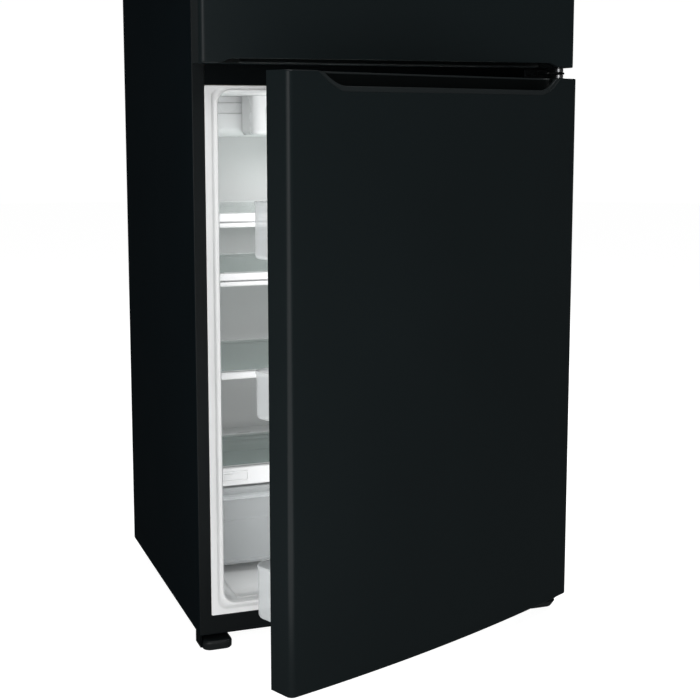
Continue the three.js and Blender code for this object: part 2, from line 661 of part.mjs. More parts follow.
refrigerator.add(mesh('air_duct', airDuct(), 'white_plastic'));
refrigerator.add(mesh('control_housing', controlHousing(), 'white_plastic'));
refrigerator.add(mesh('light_lens', lightLens(), 'clear_plastic'));
refrigerator.add(mesh('temperature_knob', temperatureKnob(), 'white_plastic'));
refrigerator.add(mesh('light_switch', lightSwitch(), 'white_plastic'));
refrigerator.add(mesh('crisper_cover_frame', crisperCover(), 'white_plastic'));
const coverGlass = shelfGlass(CRISPER_COVER.top, SHELF_FRONT, CRISPER_COVER.back);
refrigerator.add(mesh('crisper_cover_glass', coverGlass, 'glass'));
refrigerator.add(mesh('humidity_slider_left', humiditySlider(-1), 'white_plastic'));
refrigerator.add(mesh('humidity_slider_right', humiditySlider(1), 'white_plastic'));
refrigerator.add(mesh('crisper_left', crisper(-1), 'clear_plastic'));
refrigerator.add(mesh('crisper_right', crisper(1), 'clear_plastic'));

// ---------------------------------------------------------------- doors
function crownY(x, inset) {
  const edge = -DOOR_GAP - DOOR_THICKNESS + inset;
  return edge - DOOR_CROWN * (1 - (x / HALF_WIDTH) ** 2);
}

// plan outline of a door: straight back, rounded front edges and a crowned face
function doorOutline(inset, back) {
  const half = HALF_WIDTH - inset;
  const radius = DOOR_EDGE_RADIUS - inset;
  const edge = -DOOR_GAP - DOOR_THICKNESS + inset;
  const points = [[-half, back], ...arc(-half + radius, edge + radius, radius, 180, 262, 3)];
  for (let i = 0; i <= 12; i += 1) {
    const x = -(half - radius) + 2 * (half - radius) * i / 12;
    points.push([x, crownY(x, inset)]);
  }
  points.push(...arc(half - radius, edge + radius, radius, 278, 360, 3), [half, back]);
  return points;
}

// the finger room behind the front skin, with curved ends, grown by a wall thickness when asked
function scoop(grow, z0, z1) {
  const half = SCOOP.half + grow;
  const back = GRIP.back + grow;
  const endDepth = 14;
  const points = [];
  for (let i = 0; i <= 8; i += 1) {
    const x = -half + 2 * half * i / 8;
    points.push([x, crownY(x, GRIP.lip - grow)]);
  }
  for (let i = 0; i <= 4; i += 1) {
    const t = i / 4 * Math.PI / 2;
    const x = SCOOP.backHalf + (half - SCOOP.backHalf) * Math.cos(t);
    points.push([x, back - endDepth * (1 - Math.sin(t))]);
  }
  const farEnd = points.slice(-5).map(([x, y]) => [-x, y]).reverse();
  return alongZ(points.concat(farEnd), z0, z1);
}

// the cut-out in the front skin: flat in the middle, rising to the door's edge at both ends
function gripWindow(grow, edge, flatHalf, edgeHalf, depth) {
  const away = Math.sign(depth);
  const points = [[-edgeHalf - grow, edge - away * 20]];
  for (let i = 0; i <= 6; i += 1) {
    const t = i / 6;
    const x = edgeHalf + grow + (flatHalf - edgeHalf) * t;
    points.push([-x, edge + (depth + away * grow) * Math.sin(t * Math.PI / 2)]);
  }
  const mirrored = points.map(([x, z]) => [-x, z]).reverse();
  return alongY(points.concat(mirrored), -120, GRIP.back - 5);
}

function fridgeGripSpace(grow, rise = 0) {
  const depth = GRIP.depth - rise;
  const floor = FRIDGE_DOOR.top - GRIP.depth - SCOOP.below;
  const window = gripWindow(grow, FRIDGE_DOOR.top, GRIP.flatHalf - rise, GRIP.topHalf - rise, -depth);
  return window.add(scoop(grow, floor - grow, FRIDGE_DOOR.top + 10));
}

function freezerGripSpace(grow) {
  const { bottomHalf, flatHalf, height, scoopHeight } = FREEZER_GRIP;
  const window = gripWindow(grow, FREEZER_DOOR.bottom, flatHalf, bottomHalf, height);
  return window.add(scoop(grow, FREEZER_DOOR.bottom - 10, FREEZER_DOOR.bottom + scoopHeight + grow));
}

function doorPan(door, gripSpace) {
  const back = -DOOR_GAP - 3;
  const outside = alongZ(doorOutline(0, back), door.bottom, door.top);
  const inside = alongZ(doorOutline(SHEET, back + 10), door.bottom + SHEET, door.top - SHEET);
  const pinHoles = rodZ(HINGE_X, HINGE_Y, door.bottom - 5, door.bottom + 5, PIN_RADIUS + 0.6)
    .add(rodZ(HINGE_X, HINGE_Y, door.top - 5, door.top + 5, PIN_RADIUS + 0.6));
  return outside.subtract(inside).subtract(gripSpace(2 + FIT)).subtract(pinHoles);
}

// the moulded pocket that lines the finger room; its lip stands up inside the cut-out
function gripPocket(door, gripSpace) {
  const body = alongZ(doorOutline(0.4, -DOOR_GAP - 12), door.bottom + 0.4, door.top - 0.4);
  return gripSpace(2).intersect(body).subtract(gripSpace(0, GRIP.lipRise));
}

// the raised frame of a door liner, or with inset the channel that hollows it from behind
function dikeRing(z0, z1, inset, y0, y1) {
  const half = DIKE.half - inset;
  const outside = alongY(roundedRect(-half, half, z0 + inset, z1 - inset, 20 - inset), y0, y1);
  const inner = DIKE.half - DIKE.width + inset;
  const rim = DIKE.rimHeight - inset;
  const inside = alongY(roundedRect(-inner, inner, z0 + rim, z1 - rim, 10), y0 - 1, y1 + 1);
  return outside.subtract(inside);
}

function doorLiner(door, dikeBottom, dikeTop) {
  const half = HALF_WIDTH - 4;
  const plate = box(-half, half, -DOOR_GAP - PLASTIC, -DOOR_GAP, door.bottom + 3, door.top - 3);
  const dike = dikeRing(dikeBottom, dikeTop, 0, -DOOR_GAP - 1, DIKE.front);
  const channel = dikeRing(dikeBottom, dikeTop, PLASTIC, -20, DIKE.front - PLASTIC);
  return plate.add(dike).subtract(channel);
}

function gasket(z0, z1) {
  const { half, width } = GASKET;
  const inner = half - width;
  const outside = alongY(roundedRect(-half, half, z0, z1, 8), -DOOR_GAP + FIT, -0.8);
  return outside.subtract(alongY(roundedRect(-inner, inner, z0 + width, z1 - width, 6), -20, 5));
}

// plan outline of a door bin: nested between the dikes behind, tapered at its hinge end in front
function binOutline(left, right, depth, taper, inset) {
  const neck = DIKE.half - DIKE.width - 4;
  const step = DIKE.front + 1;
  const rear = -DOOR_GAP + 1;
  const leftNeck = Math.max(left, -neck) + inset;
  const rightNeck = Math.min(right, neck) - inset;
  const front = depth - inset;
  const corner = 24 - inset;
  return [
    [leftNeck, rear + inset], [rightNeck, rear + inset], [rightNeck, step + inset],
    [right - inset, step + inset], [right - inset, depth - taper - inset],
    [right - inset - taper * 2.6, front],
    ...arc(left + inset + corner, front - corner, corner, 90, 180, 4),
    [left + inset, step + inset], [leftNeck, step + inset],
  ];
}

function doorBin(left, right, depth, taper, z0, z1) {
  const outside = alongZ(binOutline(left, right, depth, taper, 0), z0, z1);
  return outside.subtract(alongZ(binOutline(left, right, depth, taper, PLASTIC), z0 + PLASTIC, z1 + 5));
}

const DAIRY = { left: 14, right: 285, bottom: 778, top: 872, front: 76 };

function fridgeDoorLiner() {
  const { left, right, bottom, top, front } = DAIRY;
  const whole = doorLiner(FRIDGE_DOOR, 98, 1058);
  const tray = box(left, right, -DOOR_GAP - 1, front, bottom, top);
  const room = box(left + 3, right - 3, -DOOR_GAP, front + 5, bottom + 3, top + 5);
  const frontLip = box(left, right, front - 3, front, bottom, bottom + 20);
  return whole.add(tray.subtract(room)).add(frontLip);
}

// the lid covers the compartment's top and front, and turns up about its rear edge
function dairyLid() {
  const { left, right, bottom, top, front } = DAIRY;
  const profile = [
    [3, top + 1], [front + 4, top + 1], [front + 4, bottom + 26], [front + 1.4, bottom + 26],
    [front + 1.4, top - 0.5], [front + 1, top + 0.6], [3, top + 0.6],
  ];
  const skin = profile.map(([y, z]) => (z > top + 0.8 ? [y, z + 2] : [y, z]));
  return alongX(skin, left, right);
}

const fridgeDoor = new THREE.Group();
const binLeft = -BIN_HALF;
fridgeDoor.add(mesh('fridge_door_panel', doorPan(FRIDGE_DOOR, fridgeGripSpace), 'black_steel'));
fridgeDoor.add(mesh('fridge_door_handle', gripPocket(FRIDGE_DOOR, fridgeGripSpace), 'black_plastic'));
fridgeDoor.add(mesh('fridge_door_liner', fridgeDoorLiner(), 'white_plastic'));
fridgeDoor.add(mesh('fridge_door_gasket', gasket(56, 1091), 'rubber'));
fridgeDoor.add(mesh('door_bin_top', doorBin(binLeft, 8, BIN_DEPTH, 0, 774, 875), 'clear_plastic'));
fridgeDoor.add(mesh('door_bin_middle', doorBin(binLeft, BIN_HALF, BIN_DEPTH, 50, 488, 575), 'clear_plastic'));
fridgeDoor.add(mesh('door_bin_lower', doorBin(binLeft, BIN_HALF, BIN_DEPTH, 50, 118, 218), 'clear_plastic'));
fridgeDoor.add(mesh('dairy_lid', dairyLid(), 'clear_plastic'));
fridgeDoor.position.set(-HINGE_X, -HINGE_Y, 0);

const fridgeDoorAjar = new THREE.Group();
fridgeDoorAjar.add(fridgeDoor);
fridgeDoorAjar.rotation.z = THREE.MathUtils.degToRad(DOOR_AJAR_DEG);
fridgeDoorAjar.position.set(HINGE_X, HINGE_Y, 0);
refrigerator.add(fridgeDoorAjar);

const freezerBin = (z0) => doorBin(binLeft, BIN_HALF, FREEZER_BIN_DEPTH, 20, z0, z0 + 78);
refrigerator.add(mesh('freezer_door_panel', doorPan(FREEZER_DOOR, freezerGripSpace), 'black_steel'));
refrigerator.add(mesh('freezer_door_handle', gripPocket(FREEZER_DOOR, freezerGripSpace), 'black_plastic'));
refrigerator.add(mesh('freezer_door_liner', doorLiner(FREEZER_DOOR, 1155, 1610), 'white_plastic'));
refrigerator.add(mesh('freezer_door_gasket', gasket(1135, 1654), 'rubber'));
refrigerator.add(mesh('freezer_bin_lower', freezerBin(1185), 'clear_plastic'));
refrigerator.add(mesh('freezer_bin_upper', freezerBin(1400), 'clear_plastic'));

export default refrigerator;
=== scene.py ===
"""Looks of a top freezer refrigerator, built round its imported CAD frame.

Pieces are drawn in millimetres in the cabinet's own places: x from the centre line, y from the
cabinet's front plane towards the back, z from the floor. CABINET brings that drawing to the row
frame, and AJAR also turns the fridge door's pieces to where the door stands at rest.
"""

import json
import math

import bmesh
import bpy
from mathutils import Matrix, Vector


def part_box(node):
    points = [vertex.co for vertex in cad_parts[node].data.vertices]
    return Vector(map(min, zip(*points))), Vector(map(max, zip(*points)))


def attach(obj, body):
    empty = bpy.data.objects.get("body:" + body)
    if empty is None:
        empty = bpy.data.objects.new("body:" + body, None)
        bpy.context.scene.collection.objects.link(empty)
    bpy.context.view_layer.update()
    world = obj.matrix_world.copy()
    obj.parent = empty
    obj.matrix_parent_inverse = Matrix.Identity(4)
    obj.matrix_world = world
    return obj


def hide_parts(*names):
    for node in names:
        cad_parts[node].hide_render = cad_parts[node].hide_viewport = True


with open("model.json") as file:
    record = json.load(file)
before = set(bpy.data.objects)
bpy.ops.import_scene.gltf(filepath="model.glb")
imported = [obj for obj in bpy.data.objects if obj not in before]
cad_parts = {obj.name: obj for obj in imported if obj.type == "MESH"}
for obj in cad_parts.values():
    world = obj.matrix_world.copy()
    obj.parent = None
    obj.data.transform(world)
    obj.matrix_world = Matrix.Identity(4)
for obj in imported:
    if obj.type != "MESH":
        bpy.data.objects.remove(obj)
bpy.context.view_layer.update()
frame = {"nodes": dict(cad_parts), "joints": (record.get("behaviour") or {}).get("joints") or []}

# -------- drawing frames
DOOR_JOINT = next(joint for joint in frame["joints"] if joint["name"] == "fridge_door_hinge")
MM = 0.001
CABINET = Matrix.Translation((0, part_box("cabinet_wrapper")[0].y, 0)) @ Matrix.Scale(MM, 4)
HINGE = Matrix.Translation(DOOR_JOINT["pos_m"])
AJAR_TURN = Matrix.Rotation(-math.radians(DOOR_JOINT["range_deg"][0]), 4, "Z")
AJAR = HINGE @ AJAR_TURN @ HINGE.inverted() @ CABINET


class Extent:
    """The box round a CAD node, in the drawing that `place` brings to the row frame."""

    def __init__(self, node, place=CABINET):
        back = place.inverted()
        points = [back @ v.co for v in frame["nodes"][node].data.vertices]
        self.x0, self.y0, self.z0 = (min(p[i] for p in points) for i in range(3))
        self.x1, self.y1, self.z1 = (max(p[i] for p in points) for i in range(3))
        self.x, self.y, self.z = ((self.x0 + self.x1) / 2, (self.y0 + self.y1) / 2, (self.z0 + self.z1) / 2)

    def plan(self, radius):
        """The box seen from above, with rounded corners."""
        return rect(self.x0, self.x1, self.y0, self.y1, radius)


# -------- materials
class Finish:
    """A Principled material whose colour, roughness and bump come from procedural textures."""

    def __init__(self, name, base, rough, metal=0.0, **sockets):
        self.material = bpy.data.materials.new(name)
        self.material.use_nodes = True
        self.tree = self.material.node_tree
        self.shader = self.tree.nodes["Principled BSDF"]
        self.base, self.rough = base, rough
        self.shader.inputs["Metallic"].default_value = metal
        for key, value in sockets.items():
            self.shader.inputs[key.replace("_", " ")].default_value = value
        self.where = self.tree.nodes.new("ShaderNodeTexCoord").outputs["Object"]

    def node(self, kind, **values):
        made = self.tree.nodes.new(kind)
        for key, value in values.items():
            made.inputs[key].default_value = value
        return made

    def link(self, a, b):
        self.tree.links.new(a, b)

    def noise(self, scale, detail=4.0, stretch=(1, 1, 1)):
        mapping = self.node("ShaderNodeMapping", Scale=stretch)
        self.link(self.where, mapping.inputs["Vector"])
        made = self.node("ShaderNodeTexNoise", Scale=scale, Detail=detail)
        self.link(mapping.outputs["Vector"], made.inputs["Vector"])
        return made.outputs["Fac"]

    def mottled(self, scale, spread, stretch=(1, 1, 1)):
        """Base colour that drifts by `spread` from place to place."""
        ramp = self.node("ShaderNodeValToRGB")
        low, high = ramp.color_ramp.elements
        low.position, high.position = 0.3, 0.7
        low.color = (*[c * (1 - spread) for c in self.base], 1)
        high.color = (*[min(1, c * (1 + spread)) for c in self.base], 1)
        self.link(self.noise(scale, stretch=stretch), ramp.inputs["Fac"])
        self.link(ramp.outputs["Color"], self.shader.inputs["Base Color"])
        return self

    def uneven(self, scale, spread, stretch=(1, 1, 1)):
        """Roughness that drifts by `spread`, as from wiping and handling."""
        span = self.node("ShaderNodeMapRange")
        span.inputs["To Min"].default_value = self.rough - spread
        span.inputs["To Max"].default_value = self.rough + spread
        self.link(self.noise(scale, 5.0, stretch), span.inputs["Value"])
        self.link(span.outputs["Result"], self.shader.inputs["Roughness"])
        return self

    def bumped(self, height, strength, distance):
        bump = self.node("ShaderNodeBump", Strength=strength, Distance=distance)
        self.link(height, bump.inputs["Height"])
        self.link(bump.outputs["Normal"], self.shader.inputs["Normal"])
        return self

    def pebbled(self, scale, strength, distance):
        cells = self.node("ShaderNodeTexVoronoi", Scale=scale)
        self.link(self.where, cells.inputs["Vector"])
        return self.bumped(cells.outputs["Distance"], strength, distance)

    def grained(self, scale, strength, distance, stretch=(1, 1, 1)):
        return self.bumped(self.noise(scale, 3.0, stretch), strength, distance)


def paint(name, base, rough, specular):
    """Baked enamel: a faint orange peel under an even satin film."""
    film = Finish(name, base, rough, Specular_IOR_Level=specular)
    film.mottled(3.0, 0.05).uneven(5.0, 0.03)
    return film.grained(420, 0.06, 0.0001).material


def moulded(name, base, rough, specular=0.5, grain=900, spread=0.03):
    """Moulded plastic: a spark-eroded grain and slight flow marks."""
    plastic = Finish(name, base, rough, Specular_IOR_Level=specular)
    plastic.mottled(6.0, spread).uneven(9.0, 0.04)
    return plastic.pebbled(grain, 0.08, 0.0001).material


def clear(name, base, rough, alpha, edge_alpha):
    """Thin clear plastic or glass: faint on its faces and denser where it is seen edge on."""
    pane = Finish(name, base, rough, IOR=1.5, Specular_IOR_Level=0.5)
    pane.mottled(8.0, 0.03).uneven(12.0, 0.02)
    facing = pane.node("ShaderNodeLayerWeight", Blend=0.35)
    span = pane.node("ShaderNodeMapRange")
    span.inputs["To Min"].default_value = alpha
    span.inputs["To Max"].default_value = edge_alpha
    pane.link(facing.outputs["Facing"], span.inputs["Value"])
    pane.link(span.outputs["Result"], pane.shader.inputs["Alpha"])
    return pane.material


def metal(name, base, rough, stretch, grain=300, shine=1.0):
    """Plated or rolled sheet with a drawn grain and blotches in its shine."""
    sheet = Finish(name, base, rough, metal=shine)
    sheet.mottled(14.0, 0.08).uneven(7.0, 0.08)
    return sheet.grained(grain, 0.1, 0.0001, stretch).material


DOOR_PAINT = paint("door_paint", (0.0064, 0.0098, 0.0107), 0.31, 0.19)
# The cabinet's sides: a darker, duller copy of the black paint, with the shade that falls on the sides
# painted in.
SIDE_SHADE_PAINT = paint("side_painted_shade", (0.0036, 0.0066, 0.0084), 0.52, 0.012)
FLANGE_PAINT = paint("flange_paint", (0.0044, 0.0062, 0.0068), 0.44, 0.18)
FRAME_PAINT = paint("frame_paint", (0.0020, 0.0030, 0.0034), 0.50, 0.05)
SHELL_PAINT = paint("compressor_paint", (0.012, 0.012, 0.013), 0.38, 0.5)
BLACK_PLASTIC = moulded("black_moulding", (0.0075, 0.0095, 0.0100), 0.42, 0.30, 1400)
# Two copies of the pocket's black plastic: a lighter one that paints a highlight on the lip and on the back
# wall's rounded top, and a much darker one that paints the shade deep in the scoop.
GRIP_LIT_PAINT = moulded("grip_painted_light", (0.0112, 0.0146, 0.0154), 0.40, 0.35, 1400)
GRIP_SHADE_PAINT = moulded("grip_painted_shade", (0.0016, 0.0027, 0.0028), 0.55, 0.12, 700)
LINER_WHITE = moulded("liner_plastic", (0.78, 0.785, 0.785), 0.34, 0.45, 500, 0.012)
TRIM_WHITE = moulded("trim_plastic", (0.84, 0.845, 0.85), 0.28, 0.5, 900, 0.012)
CLEAR = clear("clear_plastic", (0.78, 0.81, 0.82), 0.16, 0.26, 0.82)
GLASS = clear("shelf_glass", (0.42, 0.52, 0.49), 0.04, 0.20, 0.62)
LENS = clear("lens_plastic", (0.92, 0.91, 0.86), 0.30, 0.65, 0.92)
ZINC = metal("zinc_plate", (0.62, 0.63, 0.64), 0.36, (1, 1, 14))
ROLLED = metal("rolled_sheet", (0.46, 0.48, 0.49), 0.48, (1, 1, 30), 160, 0.55)
ALUMINIUM = metal("fin_aluminium", (0.78, 0.79, 0.80), 0.28, (1, 1, 8))
COPPER = metal("copper_tube", (0.78, 0.38, 0.22), 0.30, (1, 1, 6))
RUBBER = moulded("gasket_rubber", (0.018, 0.019, 0.020), 0.62, 0.3, 700, 0.08)
FOAM = Finish("insulating_foam", (0.72, 0.58, 0.28), 0.90)
FOAM = FOAM.mottled(30.0, 0.15).uneven(20.0, 0.04).pebbled(260, 0.6, 0.001).material
WIRE_WHITE = moulded("wire_coating", (0.80, 0.81, 0.81), 0.32, 0.5, 1200, 0.02)


# -------- outlines
def rounded(corners, radii, steps=5):
    """A closed outline through `corners` (counter-clockwise), each rounded by its radius."""
    if not isinstance(radii, (list, tuple)):
        radii = [radii] * len(corners)
    outline = []
    count = len(corners)
    for i, radius in enumerate(radii):
        here = Vector(corners[i])
        before = (Vector(corners[i - 1]) - here).normalized()
        after = (Vector(corners[(i + 1) % count]) - here).normalized()
        half_angle = before.angle(after) / 2
        reach = radius / math.tan(half_angle)
        middle = here + (before + after).normalized() * (radius / math.sin(half_angle))
        start = here + before * reach - middle
        end = here + after * reach - middle
        turn = math.atan2(start.x * end.y - start.y * end.x, start.dot(end))
        for k in range(steps + 1):
            angle = turn * k / steps
            c, s = math.cos(angle), math.sin(angle)
            outline.append((middle.x + start.x * c - start.y * s, middle.y + start.x * s + start.y * c))
    return outline


def rect(x0, x1, y0, y1, radius, steps=6):
    return rounded([(x1, y0), (x1, y1), (x0, y1), (x0, y0)], radius, steps)


def panel(box, radius, shrink):
    """The rectangle `box` (x0, x1, z0, z1) shrunk on all sides, its corners kept round."""
    x0, x1, z0, z1 = box
    return rect(x0 + shrink, x1 - shrink, z0 + shrink, z1 - shrink, max(radius - shrink, 0.5))


def inset(outline, distance):
    """The outline moved inwards by `distance` along its mitred normals."""
    moved = []
    count = len(outline)
    for i in range(count):
        a, b, c = (Vector(outline[j % count]) for j in (i - 1, i, i + 1))
        first = (b - a).normalized() if (b - a).length > 1e-6 else (c - b).normalized()
        second = (c - b).normalized() if (c - b).length > 1e-6 else first
        normal = Vector((-(first.y + second.y), first.x + second.x)).normalized()
        mitre = max(0.4, normal.dot(Vector((-first.y, first.x))))
        moved.append(tuple(b + normal * (distance / mitre)))
    return moved


def on_x(outline, x):
    return [(x, a, b) for a, b in outline]


def on_y(outline, y):
    return [(a, y, b) for a, b in outline]


def on_z(outline, z):
    return [(a, b, z) for a, b in outline]


def stack(outline, lift, steps):
    """Rings from one outline: each moved in by its distance and lifted to its level."""
    return [lift(inset(outline, distance), level) for distance, level in steps]


def quarter(steps=4):
    """Sine and cosine along a quarter turn."""
    return [(math.sin(math.pi / 2 * k / steps), math.cos(math.pi / 2 * k / steps)) for k in range(steps + 1)]


def angles(sides):
    """Even angles round a full turn."""
    return [2 * math.pi * k / sides for k in range(sides)]


def polar(r, angle, height):
    return Vector((r * math.cos(angle), r * math.sin(angle), height))


# Turns that bring a profile's own axis, Z, onto each axis of the drawing.
AXIS_TURN = {
    "X": Matrix.Rotation(math.pi / 2, 4, "Y"),
    "Y": Matrix.Rotation(-math.pi / 2, 4, "X"),
    "Z": Matrix.Identity(4),
}


# -------- mesh builders
class Shape:
    """A mesh under construction, in the drawing's millimetres."""

    def __init__(self):
        self.bm = bmesh.new()
        self.slot = 0

    def face(self, verts):
        self.bm.faces.new(verts).material_index = self.slot

    def loft(self, rings, start_cap=False, end_cap=False, closed=True):
        """Skins neighbouring rings of equal length; `closed` joins each ring's ends."""
        rows = [[self.bm.verts.new(p) for p in ring] for ring in rings]
        span = len(rows[0]) if closed else len(rows[0]) - 1
        for low, high in zip(rows, rows[1:]):
            for i in range(span):
                j = (i + 1) % len(low)
                self.face((low[i], low[j], high[j], high[i]))
        if start_cap:
            self.face(list(reversed(rows[0])))
        if end_cap:
            self.face(rows[-1])
        return self

    def hoop(self, rings):
        """Rings lofted in turn and back to the first: a frame with a hole through it."""
        return self.loft([*rings, rings[0]])

    def prism(self, outline, lift, a, b, edge=0.0):
        """An outline raised from a to b, its end edges rounded by `edge`."""
        ends = [(edge * (1 - c), edge * (1 - s)) for s, c in quarter(3)] if edge else [(0, 0)]
        rings = [(shrink, a + rise) for rise, shrink in ends]
        rings += [(shrink, b - rise) for rise, shrink in reversed(ends)]
        return self.loft(stack(outline, lift, rings), True, True)

    def block(self, x0, x1, y0, y1, z0, z1, round_z=2.0, edge=1.0):
        return self.prism(rect(x0, x1, y0, y1, round_z, 3), on_z, z0, z1, edge)

    def lathe(self, profile, axis, centre, sides=32):
        """A (radius, height) profile turned about an axis through `centre`."""
        turn = Matrix.Translation(centre) @ AXIS_TURN[axis]
        rings = [[turn @ polar(r, a, h) for a in angles(sides)] for r, h in profile]
        return self.loft(rings, True, True)

    def rod(self, points, radius, sides=10):
        """A round bar that follows `points`, with flat ends."""
        path = [Vector(p) for p in points]
        rings = []
        side = None
        for i, here in enumerate(path):
            ahead = (path[min(i + 1, len(path) - 1)] - path[max(i - 1, 0)]).normalized()
            if side is None:
                side = ahead.orthogonal().normalized()
            side = (side - ahead * side.dot(ahead)).normalized()
            up = ahead.cross(side)
            rings.append([here + (side * math.cos(a) + up * math.sin(a)) * radius for a in angles(sides)])
        return self.loft(rings, True, True)

    def screw(self, centre, axis, radius=4.0, out=1):
        """A pan head with a driver recess, standing out along `axis`."""
        r = radius
        profile = [(r, -0.5), (r, 0.15 * r), (0.85 * r, 0.4 * r), (0.4 * r, 0.5 * r), (0.3 * r, 0.2 * r)]
        return self.lathe([(a, b * out) for a, b in profile], axis, centre, 16)

    def tub(self, outline, z0, z1, wall=2.5, base=5.0, bead=1.5):
        """An open-topped box with a rounded floor edge and a beaded rim."""
        rings = [(base * (1 - s), z0 + base * (1 - c)) for s, c in quarter()]
        rings += [(0, z1 - 7), (-bead, z1 - 5.5), (-bead, z1 - 1), (0.6 - bead, z1)]
        rings += [(wall - 0.6, z1), (wall, z1 - 0.8), (wall, z0 + wall + base)]
        rings += [(wall + base * (1 - c), z0 + wall + base * (1 - s)) for s, c in quarter()]
        return self.loft(stack(outline, on_z, rings), True, True)


def place_object(name, data):
    made = bpy.data.objects.new(name, data)
    bpy.context.collection.objects.link(made)
    return made


def place_mesh(name, bm, materials):
    mesh = bpy.data.meshes.new(name)
    bm.to_mesh(mesh)
    bm.free()
    for material in materials:
        mesh.materials.append(material)
    return place_object(name, mesh)


def mark_sharp(bm, limit_deg):
    for edge in bm.edges:
        if len(edge.link_faces) == 2:
            edge.smooth = edge.calc_face_angle() < math.radians(limit_deg)


def soften(piece, bevel, limit_deg):
    """Rounds sharp edges by `bevel` mm and weights the normals towards the large faces."""
    if bevel:
        rounding = piece.modifiers.new("edges", "BEVEL")
        rounding.width = bevel * MM
        rounding.segments = 3
        rounding.limit_method = "ANGLE"
        rounding.angle_limit = math.radians(limit_deg)
    normals = piece.modifiers.new("normals", "WEIGHTED_NORMAL")
    normals.keep_sharp = True


def add_piece(name, shape, materials, nodes, body="cabinet", place=CABINET, bevel=0.0, limit_deg=35):
    """Turns a Shape into a named object on its CAD body, standing for `nodes`."""
    bm = shape.bm
    bmesh.ops.remove_doubles(bm, verts=bm.verts[:], dist=1e-3)
    bmesh.ops.recalc_face_normals(bm, faces=bm.faces[:])
    mark_sharp(bm, 80 if bevel else limit_deg)
    for face in bm.faces:
        face.smooth = True
    bm.transform(place)
    piece = place_mesh(name, bm, materials if isinstance(materials, list) else [materials])
    soften(piece, bevel, limit_deg)
    nodes = [nodes] if isinstance(nodes, str) else nodes
    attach(piece, body)
    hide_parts(*nodes)


def keep_node(node, material, bevel=0.6):
    """A CAD node that shows as it is, with its edges eased and its finish put on."""
    shown = frame["nodes"][node]
    shown.data.materials.clear()
    shown.data.materials.append(material)
    weld = shown.modifiers.new("weld", "WELD")
    weld.merge_threshold = 1e-5
    soften(shown, bevel, 35)


# -------- doors
CROWN = 19
EDGE_ROUND = 11
SKIN_ROUND = 3.0
POCKET_HALF = 305
POCKET_STRAIGHT = 262
POCKET_BACK = -40
POCKET_END = 28


class Door:
    """A door's sizes in the drawing, with the shape of its finger cut-out.

    `sign` is 1 where the cut-out is in the door's top edge and -1 where it is in the bottom edge.
    Depths are measured from that edge into the door.
    """

    def __init__(self, name, place, sign, **cut):
        panel = Extent(f"{name}_panel", place)
        self.name, self.place, self.sign, self.cut = name, place, sign, cut
        self.half, self.back, self.nose = panel.x1, panel.y1, panel.y0
        self.bottom, self.top = panel.z0, panel.z1
        self.grip_edge, self.far_edge = (self.top, self.bottom) if sign > 0 else (self.bottom, self.top)

    def front(self, x):
        """The crowned face, turned back by a quarter round at both sides."""
        flat = min(abs(x), self.half - EDGE_ROUND)
        over = min(1.0, (abs(x) - flat) / EDGE_ROUND)
        return self.nose + CROWN * (flat / self.half) ** 2 + EDGE_ROUND * (1 - math.sqrt(1 - over * over))

    def notch(self, x):
        """Depth of the cut-out in the front skin."""
        t = (self.cut["edge_half"] - abs(x)) / (self.cut["edge_half"] - self.cut["flat_half"])
        t = min(1.0, max(0.0, t))
        curve = t * t * (3 - 2 * t) if self.cut["s_curve"] else math.sin(t * math.pi / 2)
        return self.cut["depth"] * curve

    def level(self, depth):
        return self.grip_edge - self.sign * depth

    def stations(self, reach):
        """Places across the width where sections are taken, closer together at the bends."""
        half, edge, flat = self.half, self.cut["edge_half"], self.cut["flat_half"]
        places = {0.0}
        places |= {half - EDGE_ROUND * (1 - s) for s, _ in quarter(6)}
        places |= {20.0 * k for k in range(1, int((half - EDGE_ROUND) / 20) + 1)}
        places |= {flat + (edge - flat) * k / 14 for k in range(15)}
        places |= {POCKET_HALF - POCKET_END * (1 - s) for s, _ in quarter(6)}
        places = sorted({round(x, 2) for x in places if x <= reach + 0.01})
        return [-x for x in reversed(places) if x > 0] + places


def pocket_back(x):
    """The pocket's back wall, which comes forward round its ends."""
    t = min(1.0, max(0.0, (abs(x) - POCKET_STRAIGHT) / (POCKET_HALF - POCKET_STRAIGHT)))
    return POCKET_BACK - 14 * (1 - math.sqrt(1 - t * t))


def door_skin(door):
    """Folded steel skin: crowned face, rounded edges and a curled edge round the cut-out."""
    shape = Shape()
    strips, caps = [], []
    for x in door.stations(door.half):
        y, n = door.front(x), door.notch(x)
        inside = n > 0.05
        r = max(1.4, SKIN_ROUND - n * 0.4) if inside else SKIN_ROUND
        r = min(r, door.half + SKIN_ROUND - abs(x))
        strip = [(door.back, door.far_edge)]
        for s, c in quarter():
            strip.append((y + SKIN_ROUND * (1 - s), door.far_edge + door.sign * SKIN_ROUND * (1 - c)))
        strip += [(y + r * (1 - c), door.level(n + r * (1 - s))) for s, c in quarter()]
        strip += [(y + r + 0.5, door.level(n + (5 if inside else 0)))]
        strips.append([(x, a, b) for a, b in strip])
        start = pocket_back(x) + 3 if inside else y + r
        caps.append([(x, start + (door.back - start) * k / 3, door.grip_edge) for k in range(4)])
    shape.loft(strips, closed=False)
    shape.loft(caps, closed=False)
    for strip, cap in ((strips[0], caps[0]), (strips[-1], caps[-1])):
        shape.face([shape.bm.verts.new(p) for p in strip[:-1] + cap[1:]])
    panel = f"{door.name}_panel"
    add_piece(f"{door.name}_skin", shape, DOOR_PAINT, panel, door.name, door.place, bevel=1.2)


